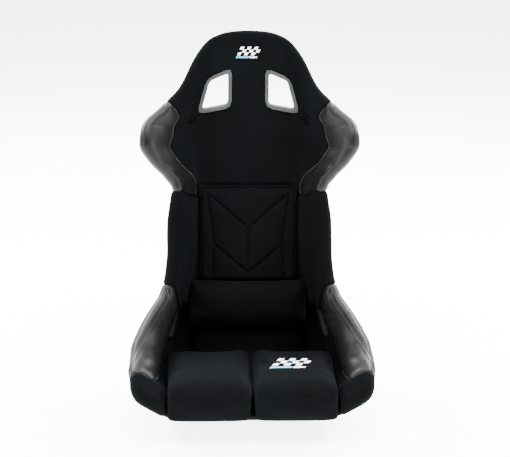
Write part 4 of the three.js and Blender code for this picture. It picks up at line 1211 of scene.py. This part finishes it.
# ---------------------------------------------------------------- carried-over nodes
def dress(node, material, bevel=0.0, angle=35):
    """A CAD node that stays in view gets its finish, shared vertices, eased edges and smooth faces."""
    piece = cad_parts[node]
    piece.data.materials.clear()
    piece.data.materials.append(material)
    smooth_faces(piece.data)
    weld = piece.modifiers.new("weld", "WELD")
    weld.merge_threshold = 1e-6
    if bevel:
        ease = piece.modifiers.new("ease", "BEVEL")
        ease.width, ease.segments = bevel / 1000, 2
        ease.limit_method, ease.angle_limit = "ANGLE", math.radians(angle)
    else:
        split = piece.modifiers.new("split", "EDGE_SPLIT")
        split.split_angle = math.radians(angle)
    flow = piece.modifiers.new("flow", "WEIGHTED_NORMAL")
    flow.keep_sharp = True


dress("shell", LAMINATE, 0.0, 50)
# The crotch and lap frames get the moulding darkened as painted shade.
dress("crotch_strap_frame", SHADE_DARKENED_FRAMES, 0.5)
dress("front_lip_trim", RUBBER, 0.0, 40)
dress("hem_trim", RUBBER, 0.0, 40)
for node in ("lumbar_tape_lower", "lumbar_tape_upper"):
    dress(node, TAPE)
for word in ("left", "right"):
    dress(f"shoulder_frame_{word}", FRAMES, 0.7)
    dress(f"lap_belt_frame_{word}", SHADE_DARKENED_FRAMES, 0.5)
    dress(f"shoulder_back_ring_{word}", RUBBER, 0.5)
    dress(f"mount_plate_{word}", STEEL, 0.3)
    dress(f"thigh_tape_{word}", TAPE)
    dress(f"threaded_insert_{word}_front", STEEL, 0.2)
    dress(f"threaded_insert_{word}_rear", STEEL, 0.2)


# ---------------------------------------------------------------- studio
def lamp(name, place, aim, size, power):
    data = bpy.data.lights.new(name, "AREA")
    data.shape, data.size, data.size_y, data.energy = "RECTANGLE", *size, power
    light = linked(name, data)
    light.location = place
    light.rotation_euler = (Vector(aim) - Vector(place)).to_track_quat("-Z", "Y").to_euler()


def studio():
    scene = bpy.context.scene
    bpy.ops.mesh.primitive_plane_add(size=60, location=(0, 0, 0))
    floor = bpy.context.object
    floor.name = "floor"
    paper = Finish("backdrop_paper", (0.9, 0.9, 0.9), 0.95, Specular_IOR_Level=0.0)
    paper.bump(paper.noise(300, 3), 0.02, 0.0005)
    paper.shader.inputs["Emission Color"].default_value = (1, 1, 1, 1)
    paper.shader.inputs["Emission Strength"].default_value = 5.0
    floor.data.materials.append(paper.material)
    world = scene.world or bpy.data.worlds.new("studio")
    scene.world = world
    world.use_nodes = True
    background = world.node_tree.nodes["Background"]
    background.inputs["Color"].default_value = (1, 1, 1, 1)
    background.inputs["Strength"].default_value = 0.35
    lamp("top", (0, -0.6, 3.1), (0, 0, 0.4), (2.6, 1.6), 380)
    lamp("top_rear", (0, 1.6, 2.6), (0, -0.05, 0.3), (3.4, 1.0), 280)
    lamp("right_rear", (1.9, 1.1, 2.0), (0, -0.1, 0.2), (1.1, 1.1), 330)
    lamp("left_rear", (-1.9, 1.1, 2.0), (0, -0.1, 0.2), (1.1, 1.1), 330)
    lamp("right_front", (2.8, -1.9, 1.6), (0, 0, 0.4), (0.7, 1.5), 150)
    lamp("left_front", (-2.8, -1.9, 1.6), (0, 0, 0.4), (0.7, 1.5), 150)
    lamp("rear", (0, 2.6, 1.6), (0, 0, 0.5), (2.4, 1.2), 40)


def camera():
    data = bpy.data.cameras.new("camera")
    data.sensor_width, data.lens = 36, FOCAL * 36 / PHOTO_WIDTH
    view = linked("camera", data)
    place, aim = points(CAMERA), points(TARGET)
    ahead = unit(aim - place)
    right = unit(np.cross(ahead, (0, 0, 1)))
    up = np.cross(right, ahead)
    roll = math.radians(ROLL)
    turned_right = right * math.cos(roll) + up * math.sin(roll)
    turned_up = up * math.cos(roll) - right * math.sin(roll)
    turn = Matrix((turned_right, turned_up, -ahead)).transposed()
    view.matrix_world = Matrix.Translation(Vector(place)) @ turn.to_4x4()
    bpy.context.scene.camera = view


CAMERA, TARGET = (-110, -3000, 1500), (12, 30, 430)
FOCAL, PHOTO_WIDTH, ROLL = 1310, 510, 0.6
studio()
camera()

bpy.context.view_layer.update()
